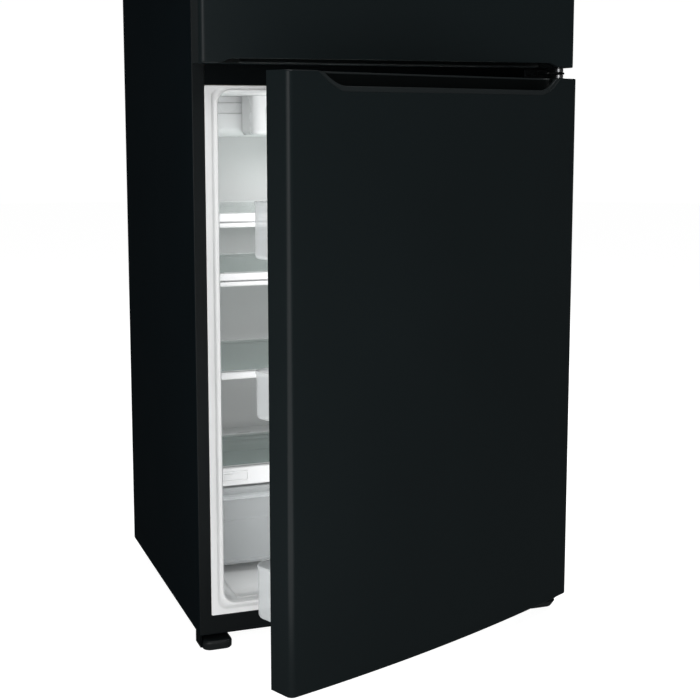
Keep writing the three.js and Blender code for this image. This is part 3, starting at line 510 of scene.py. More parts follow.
def door_pocket(door):
    """Moulded finger pocket: a lip that rises inside the cut-out, a scoop and a back wall."""
    rings = []
    for x in door.stations(door.cut["edge_half"]):
        y, n, back = door.front(x), door.notch(x), pocket_back(x)
        rise = door.cut["lip_rise"]
        lip = n - min(rise, n / 1.3)
        t = min(1.0, max(0.0, (abs(x) - POCKET_HALF + POCKET_END) / POCKET_END))
        floor = lip + (door.cut["pocket_depth"] - lip) * math.sqrt(1 - t * t)
        skirt = [(y + 1.2, n + 4), (y + 1.2, lip + 1.6)]
        section = [(y + 1.2 + 1.8 * (1 - c), lip + 1.6 * (1 - s)) for s, c in quarter(3)]
        section += [(y + 6.5, lip + 0.3), (y + 9.5, lip + 2.5), (y + 11.5, lip + 7)]
        section += [(y + 12 + 8 * (1 - c), floor - 8 * (1 - s)) for s, c in quarter(3)]
        section += [(back - 8 * (1 - s), floor - 8 * (1 - c)) for s, c in quarter(3)]
        section += [(back + 3.4 * (1 - c), 3.4 * (1 - s)) for s, c in quarter(4)]
        # The scoop stays between the door's edge and its own floor where both run out at the ends.
        section = skirt + [(a, min(max(w, 0.4), floor)) for a, w in section]
        rings.append([(x, a, door.level(w)) for a, w in section])
    shape = Shape()
    # Painted light: the lip and the back wall's rounded top take the lighter copy, and the scoop floor and
    # back wall take the darker copy as painted shade.
    for slot, first, last in ((0, 0, 8), (1, 8, 17), (0, 17, len(rings[0]))):
        shape.slot = slot
        shape.loft([ring[first:last + 1] for ring in rings], closed=False)
    handle = f"{door.name}_handle"
    finish = [GRIP_LIT_PAINT, GRIP_SHADE_PAINT]
    add_piece(f"{door.name}_pocket", shape, finish, handle, door.name, door.place, limit_deg=60)


DIKE_OUTER, DIKE_INNER, DIKE_TOP = 316, 288, 30
FIELD_HALF = 236


def dike_rings(outer, inner, foot, top):
    """Rings of a raised rounded frame between two outlines, from `foot` up to `top` and back."""
    r = 7
    rings = [(outer, 20, 0, foot), (outer, 20, 1.2, top - r)]
    rings += [(outer, 20, 1.2 + r * (1 - c), top - r * (1 - s)) for s, c in quarter(4)]
    rings += [(inner, 12, -1.2 - r * (1 - s), top - r * (1 - c)) for s, c in quarter(4)]
    rings += [(inner, 12, -1.2, top - r), (inner, 12, 0, foot + 6)]
    return rings


def door_liner(door, dike_bottom, dike_top, extras=None):
    """Vacuum-formed inner panel with a raised frame that the bins hang between."""
    liner = Extent(f"{door.name}_liner", door.place)
    plate = (liner.x0, liner.x1, liner.z0, liner.z1)
    outer = (-DIKE_OUTER, DIKE_OUTER, dike_bottom, dike_top)
    inner = (-DIKE_INNER, DIKE_INNER, dike_bottom + 16, dike_top - 16)
    field = (-FIELD_HALF, FIELD_HALF, dike_bottom + 70, dike_top - 70)
    face = -7.3
    rings = [(plate, 6, 0, liner.y0), (plate, 6, 0, face - 0.8), (plate, 6, 0.8, face), (plate, 6, 5, face)]
    rings += [(outer, 24, -4, face), (outer, 21.2, -1.2, face + 1.2)]
    rings += dike_rings(outer, inner, face + 3, DIKE_TOP)
    rings += [(inner, 12, 1.5, face + 2), (inner, 12, 5, face)]
    rings += [(field, 18, -8, face), (field, 18, -2, face + 3), (field, 18, 2, face + 3.4)]
    shape = Shape().loft([on_y(panel(o, r, d), y) for o, r, d, y in rings], True, True)
    if extras:
        extras(shape)
    add_piece(f"{door.name}_inner_panel", shape, LINER_WHITE, f"{door.name}_liner", door.name, door.place)


def door_gasket(door):
    """Magnetic seal: a flat face on folded bellows."""
    seal = Extent(f"{door.name}_gasket", door.place)
    outline = rect(seal.x0, seal.x1, seal.z0, seal.z1, 8)
    fold = [(1, 0), (0, 1.4), (1.8, 2.6), (0.2, 3.8), (1.6, 5.0), (3, 6.2), (7, 6.4), (9, 6.4)]
    fold += [(13, 6.2), (14.4, 5.0), (15.8, 3.8), (14.2, 2.6), (16, 1.4), (15, 0)]
    shape = Shape().hoop([on_y(inset(outline, d), seal.y0 + h) for d, h in fold])
    name = f"{door.name}_gasket"
    add_piece(f"{name}_bellows", shape, RUBBER, name, door.name, door.place, limit_deg=60)


def bin_outline(x0, x1, back, front, taper):
    """Plan of a door bin: it nests between the raised frames and tapers at its hinge end."""
    neck, step = 284, 31
    corners, radii = [(max(x0, -neck), back)], [5]
    if x1 > neck:
        corners += [(neck, back), (neck, step), (x1, step)]
        radii += [5, 3, 6]
    else:
        corners += [(x1, back)]
        radii += [5]
    if taper:
        corners += [(x1, front - taper), (x1 - 2.6 * taper, front)]
        radii += [14, 30]
    else:
        corners += [(x1, front)]
        radii += [20]
    corners += [(x0, front), (x0, step), (-neck, step)]
    radii += [24, 6, 3]
    return rounded(corners, radii, 5)


BIN_FLARE = 5


def door_bin(name, door, taper):
    """Clear bin with a beaded rim."""
    bin_box = Extent(name, door.place)
    outline = bin_outline(bin_box.x0 - BIN_FLARE, bin_box.x1, bin_box.y0, bin_box.y1 + BIN_FLARE, taper)
    shape = Shape().tub(outline, bin_box.z0, bin_box.z1, 2.5, 8.0)
    add_piece(f"{name}_clear", shape, CLEAR, name, door.name, door.place, limit_deg=50)


FRIDGE = Door(
    "fridge_door", AJAR, 1,
    edge_half=318, flat_half=255, depth=33.6, lip_rise=9, pocket_depth=63.6, s_curve=False,
)
FREEZER = Door(
    "freezer_door", CABINET, -1,
    edge_half=344, flat_half=318, depth=8, lip_rise=0, pocket_depth=34, s_curve=True,
)


def dairy_tray(shape):
    """The compartment moulded on the fridge door, open on top and in front under its lid."""
    lid = Extent("dairy_lid", AJAR)
    x0, x1, front, top = lid.x0, lid.x1, lid.y1 - 4.5, lid.z1 - 3
    bottom = top - 94
    shape.block(x0, x1, -9, front, bottom, bottom + 3.5, 4, 1.2)
    for side in (x0, x1 - 3.2):
        wall = rounded([(front, bottom), (front, top), (-9, top), (-9, bottom)], [8, 14, 1, 1], 4)
        shape.prism(inset(wall, 0.1), on_x, side, side + 3.2, 1.0)
    shape.block(x0, x1, front - 3.2, front, bottom, bottom + 20, 1.4, 1.2)


def build_door(door, dike_bottom, dike_top, bins, extras=None):
    """All that rides on a door; `bins` gives each bin's name and the taper at its hinge end."""
    door_skin(door)
    door_pocket(door)
    door_liner(door, dike_bottom, dike_top, extras)
    door_gasket(door)
    for name, taper in bins:
        door_bin(name, door, taper)


FRIDGE_BINS = [("door_bin_top", 0), ("door_bin_middle", 50), ("door_bin_lower", 50)]
FREEZER_BINS = [("freezer_bin_lower", 20), ("freezer_bin_upper", 20)]
build_door(FRIDGE, 98, 1058, FRIDGE_BINS, dairy_tray)
build_door(FREEZER, 1155, 1610, FREEZER_BINS)


def dairy_lid():
    """A clear lid bent down over the front, with a finger edge along its lower rim."""
    lid = Extent("dairy_lid", AJAR)
    y0, y1, z0, z1 = lid.y0, lid.y1, lid.z0, lid.z1
    t = 2.4
    bend = [(y0, z1), (y0, z1 - t)]
    bend += [(y1 - t - 10 + 10 * s, z1 - t - 10 * (1 - c)) for s, c in quarter(5)]
    bend += [(y1 - t, z0 + 3), (y1 - t - 1.5, z0 + 1.2), (y1 - t - 1.2, z0), (y1, z0)]
    bend += [(y1 - 12 * (1 - s), z1 - 12 * (1 - c)) for c, s in quarter(5)]
    shape = Shape().prism(bend, on_x, lid.x0, lid.x1)
    add_piece("dairy_lid_clear", shape, CLEAR, "dairy_lid", "dairy_lid", AJAR, bevel=0.5)


dairy_lid()

# -------- cabinet shell and liners
SHELL = Extent("cabinet_wrapper")
MOUTH = 24


def cabinet_shell():
    """Folded steel wrapper with a rounded front edge and a flange round the mouth."""
    liner = Extent("fridge_liner")
    upper = Extent("freezer_liner")
    outside = rect(SHELL.x0, SHELL.x1, SHELL.z0, SHELL.z1, 3)
    mouth = rect(SHELL.x0 + MOUTH, SHELL.x1 - MOUTH, liner.z0 - 0.3, upper.z1 + 0.3, 2)
    rings = [(outside, 0, SHELL.y1)]
    rings += [(outside, 2.5 * (1 - c), SHELL.y0 + 2.5 * (1 - s)) for s, c in quarter()]
    rings += [(mouth, -0.6, SHELL.y0), (mouth, 0, SHELL.y0 + 0.6), (mouth, 0, SHELL.y0 + 9)]
    rings = [on_y(inset(o, d), y) for o, d, y in rings]
    # The sides and most of the rounded front edge take the paint with their shade painted in; the flange
    # takes its own paint.
    shape = Shape().loft(rings[:4])
    shape.slot = 1
    shape.loft(rings[3:])
    under = [
        face for face in shape.bm.faces
        if all(v.co.z < SHELL.z0 + 1 for v in face.verts) and any(v.co.y > SHELL.y1 - 1 for v in face.verts)
    ]
    bmesh.ops.delete(shape.bm, geom=under, context="FACES")
    add_piece("cabinet_shell", shape, [SIDE_SHADE_PAINT, FLANGE_PAINT], "cabinet_wrapper")


def back_sheet():
    """Plated back with a raised field, pressed ribs and a row of screws round its edge."""
    sheet = Extent("back_panel")
    outline = (sheet.x0, sheet.x1, sheet.z0, sheet.z1)
    flat, field = sheet.y1, sheet.y1 + 1.2
    rings = [(4, 0, sheet.y0), (4, 0, flat), (54, 32, flat), (56, 34, flat + 0.3)]
    rings += [(59, 37, field - 0.2), (61, 39, field)]
    shape = Shape().loft([on_y(panel(outline, r, d), y) for r, d, y in rings], True, True)
    for x in (-210, -70, 70, 210):
        shape.prism(rect(x - 14, x + 14, sheet.z0 + 110, sheet.z1 - 110, 13.5), on_y, flat, field + 1.6, 1.4)
    shape.slot = 1
    for side in (-1, 1):
        for k in range(7):
            z = sheet.z0 + 24 + k * (sheet.z1 - sheet.z0 - 48) / 6
            shape.screw((side * (sheet.x1 - 14), sheet.y1, z), "Y")
    for k in range(1, 5):
        x = sheet.x0 + k * (sheet.x1 - sheet.x0) / 5
        for z in (sheet.z0 + 12, sheet.z1 - 14):
            shape.screw((x, sheet.y1, z), "Y")
    add_piece("back_sheet", shape, [ROLLED, ZINC], "back_panel")


MOUTH_HALF = 333
ROOM_HALF = 326


def compartment(node, cavity_bottom, cavity_top, hump=None):
    """White formed liner: flat flange, shallow groove, rolled mouth, walls and filleted back.

    `hump` gives the front and top of a step at the back, set inside walls that keep their full depth.
    """
    liner = Extent(node)
    shape = Shape()
    flange = rect(liner.x0, liner.x1, liner.z0, liner.z1, 3, 8)
    mouth = rect(-MOUTH_HALF, MOUTH_HALF, cavity_bottom - 7, cavity_top + 7, 29, 8)
    room = rect(-ROOM_HALF, ROOM_HALF, cavity_bottom, cavity_top, 22, 8)
    front, back = liner.y0, liner.y1 - 2.5

    def between(t):
        return [(a + (c - a) * t, b + (d - b) * t) for (a, b), (c, d) in zip(flange, mouth)]

    rings = [(flange, front + 2.5), (flange, front + 0.8), (inset(flange, 0.8), front)]
    groove = [(0.55, 0), (0.66, 1.0), (0.78, 4.5), (0.95, 4.8)]
    rings += [(between(t), front + sunk) for t, sunk in groove]
    roll = [(1.0, 4.0), (1.8, 1.6), (3.0, 0.8), (4.4, 1.6), (6, 5)]
    rings += [(inset(mouth, d), front + sunk) for d, sunk in roll]
    rings += [(room, front + 10)]
    fillet = 20
    rings += [(inset(room, fillet * (1 - c)), back - fillet * (1 - s)) for s, c in quarter(5)]
    shape.loft([on_y(o, y) for o, y in rings], end_cap=True)
    if hump:
        front_y, top = hump
        profile = [(back + 2, cavity_bottom - 1), (back + 2, top)]
        profile += [(front_y + 8 * (1 - s), top - 8 * (1 - c)) for s, c in quarter(6)]
        profile += [(front_y, cavity_bottom + 16)]
        profile += [(front_y - 16 * (1 - c), cavity_bottom + 16 * (1 - s)) for s, c in quarter(4)]
        shape.prism(profile, on_x, -ROOM_HALF - 0.5, ROOM_HALF + 0.5)
    return shape


FRIDGE_ROOM = (90, 1067)
FREEZER_ROOM = (1147, 1618)
SHELF_NAMES = ("shelf_1", "shelf_2", "shelf_3")


def side_rib(shape, top, y0, y1):
    """Rounded ledges on both walls, under a shelf."""
    for side in (-1, 1):
        outline = rect(*sorted((side * 313, side * 328)), top - 18, top - 12.4, 2.2, 3)
        shape.prism(outline, on_y, y0, y1, 2.0)


def fridge_liner():
    shape = compartment("fridge_liner", *FRIDGE_ROOM, (455, 290))
    front = Extent("shelf_1_frame").y0
    for name in SHELF_NAMES:
        side_rib(shape, Extent(f"{name}_frame").z1, front + 18, 545)
    side_rib(shape, Extent("crisper_cover_frame").z1, front + 18, 445)
    drawer = Extent("crisper_left")
    for x in (-300, -14, 14, 300):
        shape.block(x - 3, x + 3, 165, 440, FRIDGE_ROOM[0] - 1, drawer.z0 - 0.3, 2, 1.5)
    switch = Extent("light_switch")
    boss = rect(switch.x - 13, switch.x + 13, switch.z - 11, FRIDGE_ROOM[1] + 2, 4)
    bore = rect(switch.x - 5.6, switch.x + 5.6, switch.z - 5.6, switch.z + 5.6, 5.59)
    collar = [(boss, 70), (boss, 48), (inset(boss, 0.6), 46.6), (inset(boss, 2), 46), (bore, 46), (bore, 70)]
    shape.hoop([on_y(outline, y) for outline, y in collar])
    shape.prism(rect(-298, 298, 13, 160, 5), on_z, FRIDGE_ROOM[0] - 3, FRIDGE_ROOM[0] + 2.5, 1.5)
    add_piece("fridge_liner_shell", shape, LINER_WHITE, "fridge_liner", limit_deg=60)


def freezer_liner():
    shape = compartment("freezer_liner", *FREEZER_ROOM)
    rack = Extent("freezer_shelf")
    side_rib(shape, rack.z1, rack.y0, rack.y1 - 10)
    add_piece("freezer_liner_shell", shape, LINER_WHITE, "freezer_liner", limit_deg=60)


cabinet_shell()
back_sheet()
fridge_liner()
freezer_liner()
keep_node("cabinet_foam", FOAM, 0.0)
keep_node("mullion_bar", FRAME_PAINT)
keep_node("base_frame", FRAME_PAINT, 0.4)
keep_node("machine_cover", ROLLED, 0.3)

# -------- hinges, feet and rollers
def hinge_pin(shape, x, y, z0, z1, radius=4.0):
    profile = [(radius - 1, z0), (radius, z0 + 1), (radius, z1 - 1), (radius - 1, z1)]
    return shape.lathe(profile, "Z", (x, y, 0), 24)


def centre_hinge():
    hinge = Extent("centre_hinge")
    pin_x, pin_y, _ = CABINET.inverted() @ Vector(DOOR_JOINT["pos_m"])
    z = (FRIDGE.top + FREEZER.bottom) / 2
    bracket = Shape().prism(rect(hinge.x0, 353, z - 8.5, z + 8.5, 3, 3), on_y, -2.7, -0.3, 0.6)
    bracket.prism(rect(330, hinge.x1, hinge.y0, -0.5, 8, 5), on_z, z - 2, z + 2, 0.8)
    for x in (309, 322):
        bracket.screw((x, -2.7, z), "Y", 4.5, -1)
    add_piece("centre_hinge_bracket", bracket, BLACK_PLASTIC, "centre_hinge")
    pin = hinge_pin(Shape(), pin_x, pin_y, hinge.z0, hinge.z1)
    for low, high in ((z - 10, z - 2), (z + 2, z + 10)):
        hinge_pin(pin, pin_x, pin_y, low, high, 8.0)
    add_piece("centre_hinge_pin", pin, ZINC, "centre_hinge")


def top_hinge_cover():
    cover = Extent("top_hinge_cover")
    shape = Shape().prism(cover.plan(14), on_z, cover.z0, cover.z1, 5)
    add_piece("top_hinge_cap", shape, BLACK_PLASTIC, "top_hinge_cover")


def foot_cap(node, name, corner):
    """Cap round the levelling leg, whose front leans back towards the floor."""
    cap = Extent(node)
    lean = 1 if cap.y0 > -20 else 16
    rings = []
    height = cap.z1 - cap.z0
    levels = [(cap.z0 - 2.4, 2.0, 1.0), (cap.z0, 0.0, 0.9), (cap.z0 + height * 0.45, 0.0, 0.35)]
    levels += [(cap.z1 - 6 + 6 * s, 6 * (1 - c), 0.0) for s, c in quarter(5)]
    for z, shrink, back_off in levels:
        front = cap.y0 + lean * back_off
        corners = [(cap.x1, front), (cap.x1, cap.y1), (cap.x0, cap.y1), (cap.x0, front)]
        rings.append(on_z(inset(rounded(corners, [corner, 3, 3, corner], 6), shrink), z))
    shape = Shape().loft(rings, True, True)
    add_piece(name, shape, BLACK_PLASTIC, node)


def levelling_leg(side):
    """Moulded pad on a threaded stem."""
    node = f"levelling_leg_{side}"
    leg = Extent(node)
    r = leg.x1 - leg.x
    profile = [(r - 2, 0), (r, 1.5), (r, 5), (r - 1.5, 7), (8, 8.5)]
    for k in range(17):
        z = 10 + 2 * k
        profile += [(5.2, z), (4.3, z + 1)]
    shape = Shape().lathe(profile, "Z", (leg.x, leg.y, 0), 24)
    add_piece(f"{node}_turned", shape, BLACK_PLASTIC, node, node)


def rear_roller(side):
    node = f"rear_roller_{side}"
    wheel = Extent(node)
    r = wheel.z1 - wheel.z
    half = (wheel.x1 - wheel.x0) / 2
    profile = [(4, -half), (4, -9.2), (r - 6, -9), (r - 5, -7.5), (r - 4, -9), (r - 1.5, -9), (r, -7)]
    profile += [(a, -b) for a, b in reversed(profile)]
    shape = Shape().lathe(profile, "X", (wheel.x, wheel.y, wheel.z), 36)
    add_piece(f"{node}_wheel", shape, BLACK_PLASTIC, node, node)


centre_hinge()
keep_node("bottom_hinge", ZINC, 0.8)
keep_node("top_hinge", ZINC, 0.8)
top_hinge_cover()
foot_cap("foot_cover_left", "foot_cap_left", 16)
foot_cap("foot_cover_right", "foot_cap_right", 14)
for hand in ("left", "right"):
    levelling_leg(hand)
    rear_roller(hand)


# -------- machine room
def compressor():
    """Drawn steel shell with a welded seam, on a plate with rubber feet and stub pipes."""
    unit = Extent("compressor")
    x, y, z0, z1 = unit.x, unit.y, 42, unit.z1
    shape = Shape()
    profile = [(20, z0), (46, z0 + 3), (58, z0 + 14), (61, z0 + 30), (61, z0 + 66), (63.5, z0 + 67)]
    profile += [(63.5, z0 + 72), (61, z0 + 73), (60, z0 + 100), (54, z0 + 124), (38, z0 + 142)]
    profile += [(18, z1 - 1), (4, z1)]
    shape.lathe(profile, "Z", (x, y, 0), 48)
    shape.block(unit.x0, unit.x1, unit.y0, unit.y1, z0 - 2, z0 + 1, 10, 0.8)
    shape.slot = 1
    for side in (-1, 1):
        for end in (-1, 1):
            foot = [(6, unit.z0), (7, unit.z0 + 1), (5.5, unit.z0 + 4), (7, z0 - 2), (5, z0 + 4)]
            shape.lathe(foot, "Z", (x + side * 62, y + end * 46, 0), 16)
    shape.slot = 2
    bend = [(0, 0, 0), (-14, 0, 0), (-20, 0, 5), (-22, 0, 20)]
    for k, (dx, dz) in enumerate(((-60, 34), (-60, 62), (-56, 88))):
        start = Vector((x + dx, y - 12 + 12 * k, z0 + dz))
        shape.rod([start + Vector(point) for point in bend], 3)
    add_piece("compressor_shell", shape, [SHELL_PAINT, RUBBER, COPPER], "compressor")


def serpentine(x0, x1, y, z0, pitch, rows):
    """Path of a tube that runs to and fro, with round bends."""
    path = []
    r = pitch / 2
    for row in range(rows):
        z = z0 + row * pitch
        left_to_right = row % 2 == 0
        ends = (x0 + r, x1 - r) if left_to_right else (x1 - r, x0 + r)
        path += [(ends[0], y, z), (ends[1], y, z)]
        if row < rows - 1:
            way = 1 if left_to_right else -1
            for k in range(1, 6):
                angle = math.pi * k / 6
                path.append((ends[1] + way * r * math.sin(angle), y, z + r - r * math.cos(angle)))
    return path


def fins(shape, coil, count, margin):
    """Thin plates across a coil's full height and depth, evenly spaced between its end margins."""
    for k in range(count):
        x = coil.x0 + margin + k * (coil.x1 - coil.x0 - 2 * margin) / (count - 1)
        shape.block(x - 0.3, x + 0.3, coil.y0, coil.y1, coil.z0, coil.z1, 0.2, 0)


def condenser():
    """Serpentine steel tube in three layers, tied by plate fins."""
    coil = Extent("condenser_coil")
    shape = Shape()
    for k in range(3):
        y = coil.y0 + 12 + k * (coil.y1 - coil.y0 - 24) / 2
        shape.rod(serpentine(coil.x0, coil.x1, y, coil.z0 + 3, 18, 9), 2.8, 8)
    shape.slot = 1
    fins(shape, coil, 26, 16)
    add_piece("condenser_tubes", shape, [FRAME_PAINT, ALUMINIUM], "condenser_coil")


BLADES = 5
BLADE_SECTION = ((-0.5, 0.0), (-0.2, 0.9), (0.2, 0.9), (0.5, 0.0), (0.2, -0.7), (-0.2, -0.7))


def fan(node, name, axis, radius, hub, width):
    """Moulded fan: a domed hub with twisted, swept blades."""
    wheel = Extent(node)
    centre = Vector((wheel.x, wheel.y, wheel.z))
    half = width / 2
    shape = Shape()
    shape.lathe([(hub, -half), (hub, half - 3), (hub - 3, half), (1, half + 0.5)], axis, centre, 32)
    turn = Matrix.Translation(centre) @ AXIS_TURN[axis]
    for b in range(BLADES):
        rings = []
        for k in range(7):
            t = k / 6
            r = hub - 1 + (radius - hub + 1) * t
            chord = radius * (0.34 + 0.32 * t)
            pitch = math.radians(48 - 24 * t)
            sweep = b * 2 * math.pi / BLADES + 0.28 * t * t
            ring = []
            for along, across in BLADE_SECTION:
                a = sweep + along * chord * math.cos(pitch) / r
                h = along * chord * math.sin(pitch) * 0.8 + across
                ring.append(turn @ polar(r, a, h))
            rings.append(ring)
        shape.loft(rings, True, True)
    add_piece(name, shape, BLACK_PLASTIC, node, node, limit_deg=50)


def drain_pan():
    pan = Extent("drain_pan")
    shape = Shape().tub(pan.plan(10), pan.z0, pan.z1, 2.5, 4, 2)
    add_piece("drain_pan_moulding", shape, BLACK_PLASTIC, "drain_pan")


def cord_gland():
    """Ribbed rubber collar round the cord's opening."""
    gland = Extent("cord_gland")
    r = gland.x1 - gland.x
    y0, y1 = gland.y0 - gland.y, gland.y1 - gland.y
    profile = [(11, y0), (12, y0 + 1), (12, y1 - 8), (r, y1 - 8), (r, y1 - 6), (r - 2, y1 - 5)]
    profile += [(r - 2, y1 - 4), (r - 4, y1 - 3.4), (r - 4, y1 - 2), (r - 6.5, y1 - 1)]
    profile += [(6, y1), (4, y1 - 0.6), (4, y0 + 6)]
    shape = Shape().lathe(profile, "Y", (gland.x, gland.y, gland.z), 32)
    add_piece("cord_gland_collar", shape, RUBBER, "cord_gland")


compressor()
condenser()
fan("condenser_fan", "condenser_fan_wheel", "X", 60, 15, 20)
fan("evaporator_fan", "evaporator_fan_wheel", "Y", 46, 12, 16)
drain_pan()
cord_gland()
keep_node("condenser_fan_motor", ZINC, 1.2)
keep_node("evaporator_fan_motor", ZINC, 1.0)
keep_node("evaporator_cover", LINER_WHITE, 1.0)


def evaporator():
    """Aluminium tube in hairpins through a close stack of fins."""
    coil = Extent("evaporator_coil")
    shape = Shape()
    fins(shape, coil, 33, 15)
    for y in (coil.y0 + 14, coil.y1 - 14):
        shape.rod(serpentine(coil.x0, coil.x1, y, coil.z0 + 20, 38, 6), 4, 8)
    add_piece("evaporator_fins", shape, ALUMINIUM, "evaporator_coil")


def wire_shelf():
    """Coated wire rack: a bent rim, a doubled front rail and closely set wires."""
    rack = Extent("freezer_shelf")
    r = 3.5
    z = rack.z1 - r
    rim = inset(rack.plan(14), r)
    shape = Shape()
    shape.rod([*on_z(rim, z), *on_z(rim[:2], z)], r, 12)
    shape.rod([(rack.x0 + 10, rack.y0 + r, z - 8), (rack.x1 - 10, rack.y0 + r, z - 8)], 2.5)
    wires = 38
    for k in range(1, wires):
        x = rack.x0 + k * (rack.x1 - rack.x0) / wires
        bend = [(rack.y0 + 6, z), (rack.y0 + 3.5, z - 1.5), (rack.y0 + 2.8, z - 9)]
        shape.rod(on_x([(rack.y1 - r, z), *bend], x), 1.6, 6)
    for y in (rack.y0 + 140, rack.y0 + 280):
        shape.rod([(rack.x0 + r, y, z - 4), (rack.x1 - r, y, z - 4)], 2.5, 8)
    add_piece("freezer_wire_rack", shape, WIRE_WHITE, "freezer_shelf", limit_deg=50)


evaporator()
wire_shelf()


# -------- fridge compartment
def air_duct():
    """Stepped housing under the ceiling, with a rolled lower edge."""
    duct = Extent("air_duct")
    y, top, bottom, back = duct.y0, duct.z1, duct.z0, duct.y1
    profile = [(back, bottom), (back, top), (y + 12, top), (y + 11, top - 13), (y + 7, top - 15)]
    profile += [(y + 5, top - 36), (y + 1, top - 38)]
    profile += [(y + 24 * (1 - c), bottom + 20 * (1 - s)) for s, c in quarter(5)]
    shape = Shape().prism(list(reversed(profile)), on_x, duct.x0, duct.x1, 3.0)
    add_piece("air_duct_housing", shape, TRIM_WHITE, "air_duct", bevel=1.0, limit_deg=25)


def control_housing():
    """Rounded control box in front of the duct."""
    box = Extent("control_housing")
    outline = rounded(
        [(box.x1, box.y0), (box.x1, box.y1), (box.x0, box.y1), (box.x0, box.y0)], [18, 1, 1, 18], 6)
    rings = [(10 * (1 - s), box.z0 + 10 * (1 - c)) for s, c in quarter(5)] + [(0, box.z1)]
    shape = Shape().loft(stack(outline, on_z, rings), True, True)
    plate = rect(box.x0 + 26, box.x1 - 26, box.z0 + 18, box.z1 - 20, 12)
    shape.prism(plate, on_y, box.y0 - 1.2, box.y0 + 3, 1.0)
    add_piece("control_box", shape, TRIM_WHITE, "control_housing")


def lens():
    panel = Extent("light_lens")
    shape = Shape().prism(panel.plan(12), on_z, panel.z0, panel.z1, 3)
    for k in range(1, 12):
        x = panel.x0 + k * (panel.x1 - panel.x0) / 12
        shape.rod([(x, panel.y0 + 8, panel.z0 + 0.4), (x, panel.y1 - 8, panel.z0 + 0.4)], 1.4, 6)
    add_piece("lamp_lens", shape, LENS, "light_lens")


def knob():
    dial = Extent("temperature_knob")
    r = dial.x1 - dial.x
    face = dial.y0 + 9
    shape = Shape()
    profile = [(r - 1, dial.y1), (r, dial.y1 - 1), (r, face + 1.5), (r - 2, face), (2, face - 0.4)]
    shape.lathe(profile, "Y", (dial.x, 0, dial.z), 48)
    grip = rect(dial.x - 4.2, dial.x + 4.2, dial.z0 + 2, dial.z1 - 2, 4)
    shape.prism(grip, on_y, dial.y0, face + 1, 1.6)
    add_piece("temperature_dial", shape, TRIM_WHITE, "temperature_knob", "temperature_knob")


def switch():
    button = Extent("light_switch")
    r = button.x1 - button.x
    profile = [(1, button.y0), (r * 0.7, button.y0 + 0.8), (r, button.y0 + 3), (r, button.y1)]
    shape = Shape().lathe(profile, "Y", (button.x, 0, button.z), 24)
    add_piece("lamp_switch_button", shape, TRIM_WHITE, "light_switch", "light_switch")


def shelf_frame(node, name, trim, slotted, tracks=()):
    """Moulded frame: a front nose, and side and rear rails with a ledge for the glass.

    `trim` is the nose's height, and `tracks` names the sides with a raised edging round a slider.
    """
    rim = Extent(node)
    top, front, back = rim.z1, rim.y0, rim.y1
    shape = Shape()
    outline = rect(rim.x0, rim.x1, front + 8, back, 3)
    edge = [(0, top - 12), (0, top - 1), (1, top), (13.5, top), (14.5, top - 0.8), (14.5, top - 5.2)]
    edge += [(23, top - 5.6), (24, top - 6.5), (24, top - 11), (23, top - 12)]
    shape.hoop(stack(outline, on_z, edge))
    nose = [(front + 14, top), (front + 4, top), (front + 1.4, top - 0.8), (front, top - 3)]
    if slotted:
        cut = top - trim + 12
        nose += [(front, cut + 1), (front + 0.8, cut), (front + 12, cut), (front + 12, cut - 3.2)]
        nose += [(front + 1, cut - 3.2), (front + 0.2, cut - 4.2)]
    nose += [(front + 0.4, top - trim + 2.5), (front + 2.5, top - trim), (front + 13, top - trim)]
    nose += [(front + 16, top - trim + 3), (front + 16, top - 6)]
    shape.prism(nose, on_x, rim.x0, rim.x1, 0)
    for side in tracks:
        tab = Extent(f"humidity_slider_{side}")
        track = rect(tab.x - 30, tab.x + 42, tab.z0 - 1, tab.z1 + 1, 2, 3)
        edging = [(-4, 1), (-4, -1.2), (-3, -2), (-1, -2), (0, -1.2), (0, 1)]
        shape.hoop(stack(track, on_y, [(d, front + rise) for d, rise in edging]))
    add_piece(name, shape, TRIM_WHITE, node, bevel=0.5)


def pane(node, name):
    glass = Extent(node)
    shape = Shape().prism(glass.plan(4), on_z, glass.z0, glass.z1, 0.8)
    add_piece(name, shape, GLASS, node)


air_duct()
control_housing()
lens()
knob()
switch()
for shelf in SHELF_NAMES:
    frame_box = Extent(f"{shelf}_frame")
    shelf_frame(f"{shelf}_frame", f"{shelf}_rails", frame_box.z1 - frame_box.z0, shelf != "shelf_3")
    pane(f"{shelf}_glass", f"{shelf}_pane")
pane("crisper_cover_glass", "crisper_cover_pane")
shelf_frame("crisper_cover_frame", "crisper_cover_rails", 37, False, ("left", "right"))


def humidity_slider(side):
    node = f"humidity_slider_{side}"
    tab = Extent(node)
    shape = Shape().prism(rect(tab.x0, tab.x1, tab.z0, tab.z1, 2.5, 4), on_y, tab.y0 + 1.5, tab.y1, 0.8)
    for k in range(4):
        x = tab.x - 6 + 4 * k
        shape.rod([(x, tab.y0 + 1.6, tab.z0 + 2), (x, tab.y0 + 1.6, tab.z1 - 2)], 1.0, 8)
    add_piece(f"{node}_tab", shape, TRIM_WHITE, node, node)


def crisper(side):
    """Clear drawer with a beaded rim and a pull along its front."""
    node = f"crisper_{side}"
    drawer = Extent(node)
    front = drawer.y0 + 8
    outline = rect(drawer.x0, drawer.x1, front, drawer.y1, 12)
    shape = Shape().tub(outline, drawer.z0, drawer.z1, 3, 10, 1.0)
    pull = [(front + 1, 258), (front - 5, 257.5), (front - 7.5, 255.5), (front - 8, 252), (front - 6.8, 249)]
    pull += [(front - 6, 249.4), (front - 6.2, 252.5), (front - 4.6, 254.6), (front + 1, 255)]
    shape.prism(pull, on_x, drawer.x0 + 22, drawer.x1 - 22, 0.3)
    add_piece(f"{node}_drawer", shape, CLEAR, node, node, limit_deg=50)


for hand in ("left", "right"):
    humidity_slider(hand)
    crisper(hand)


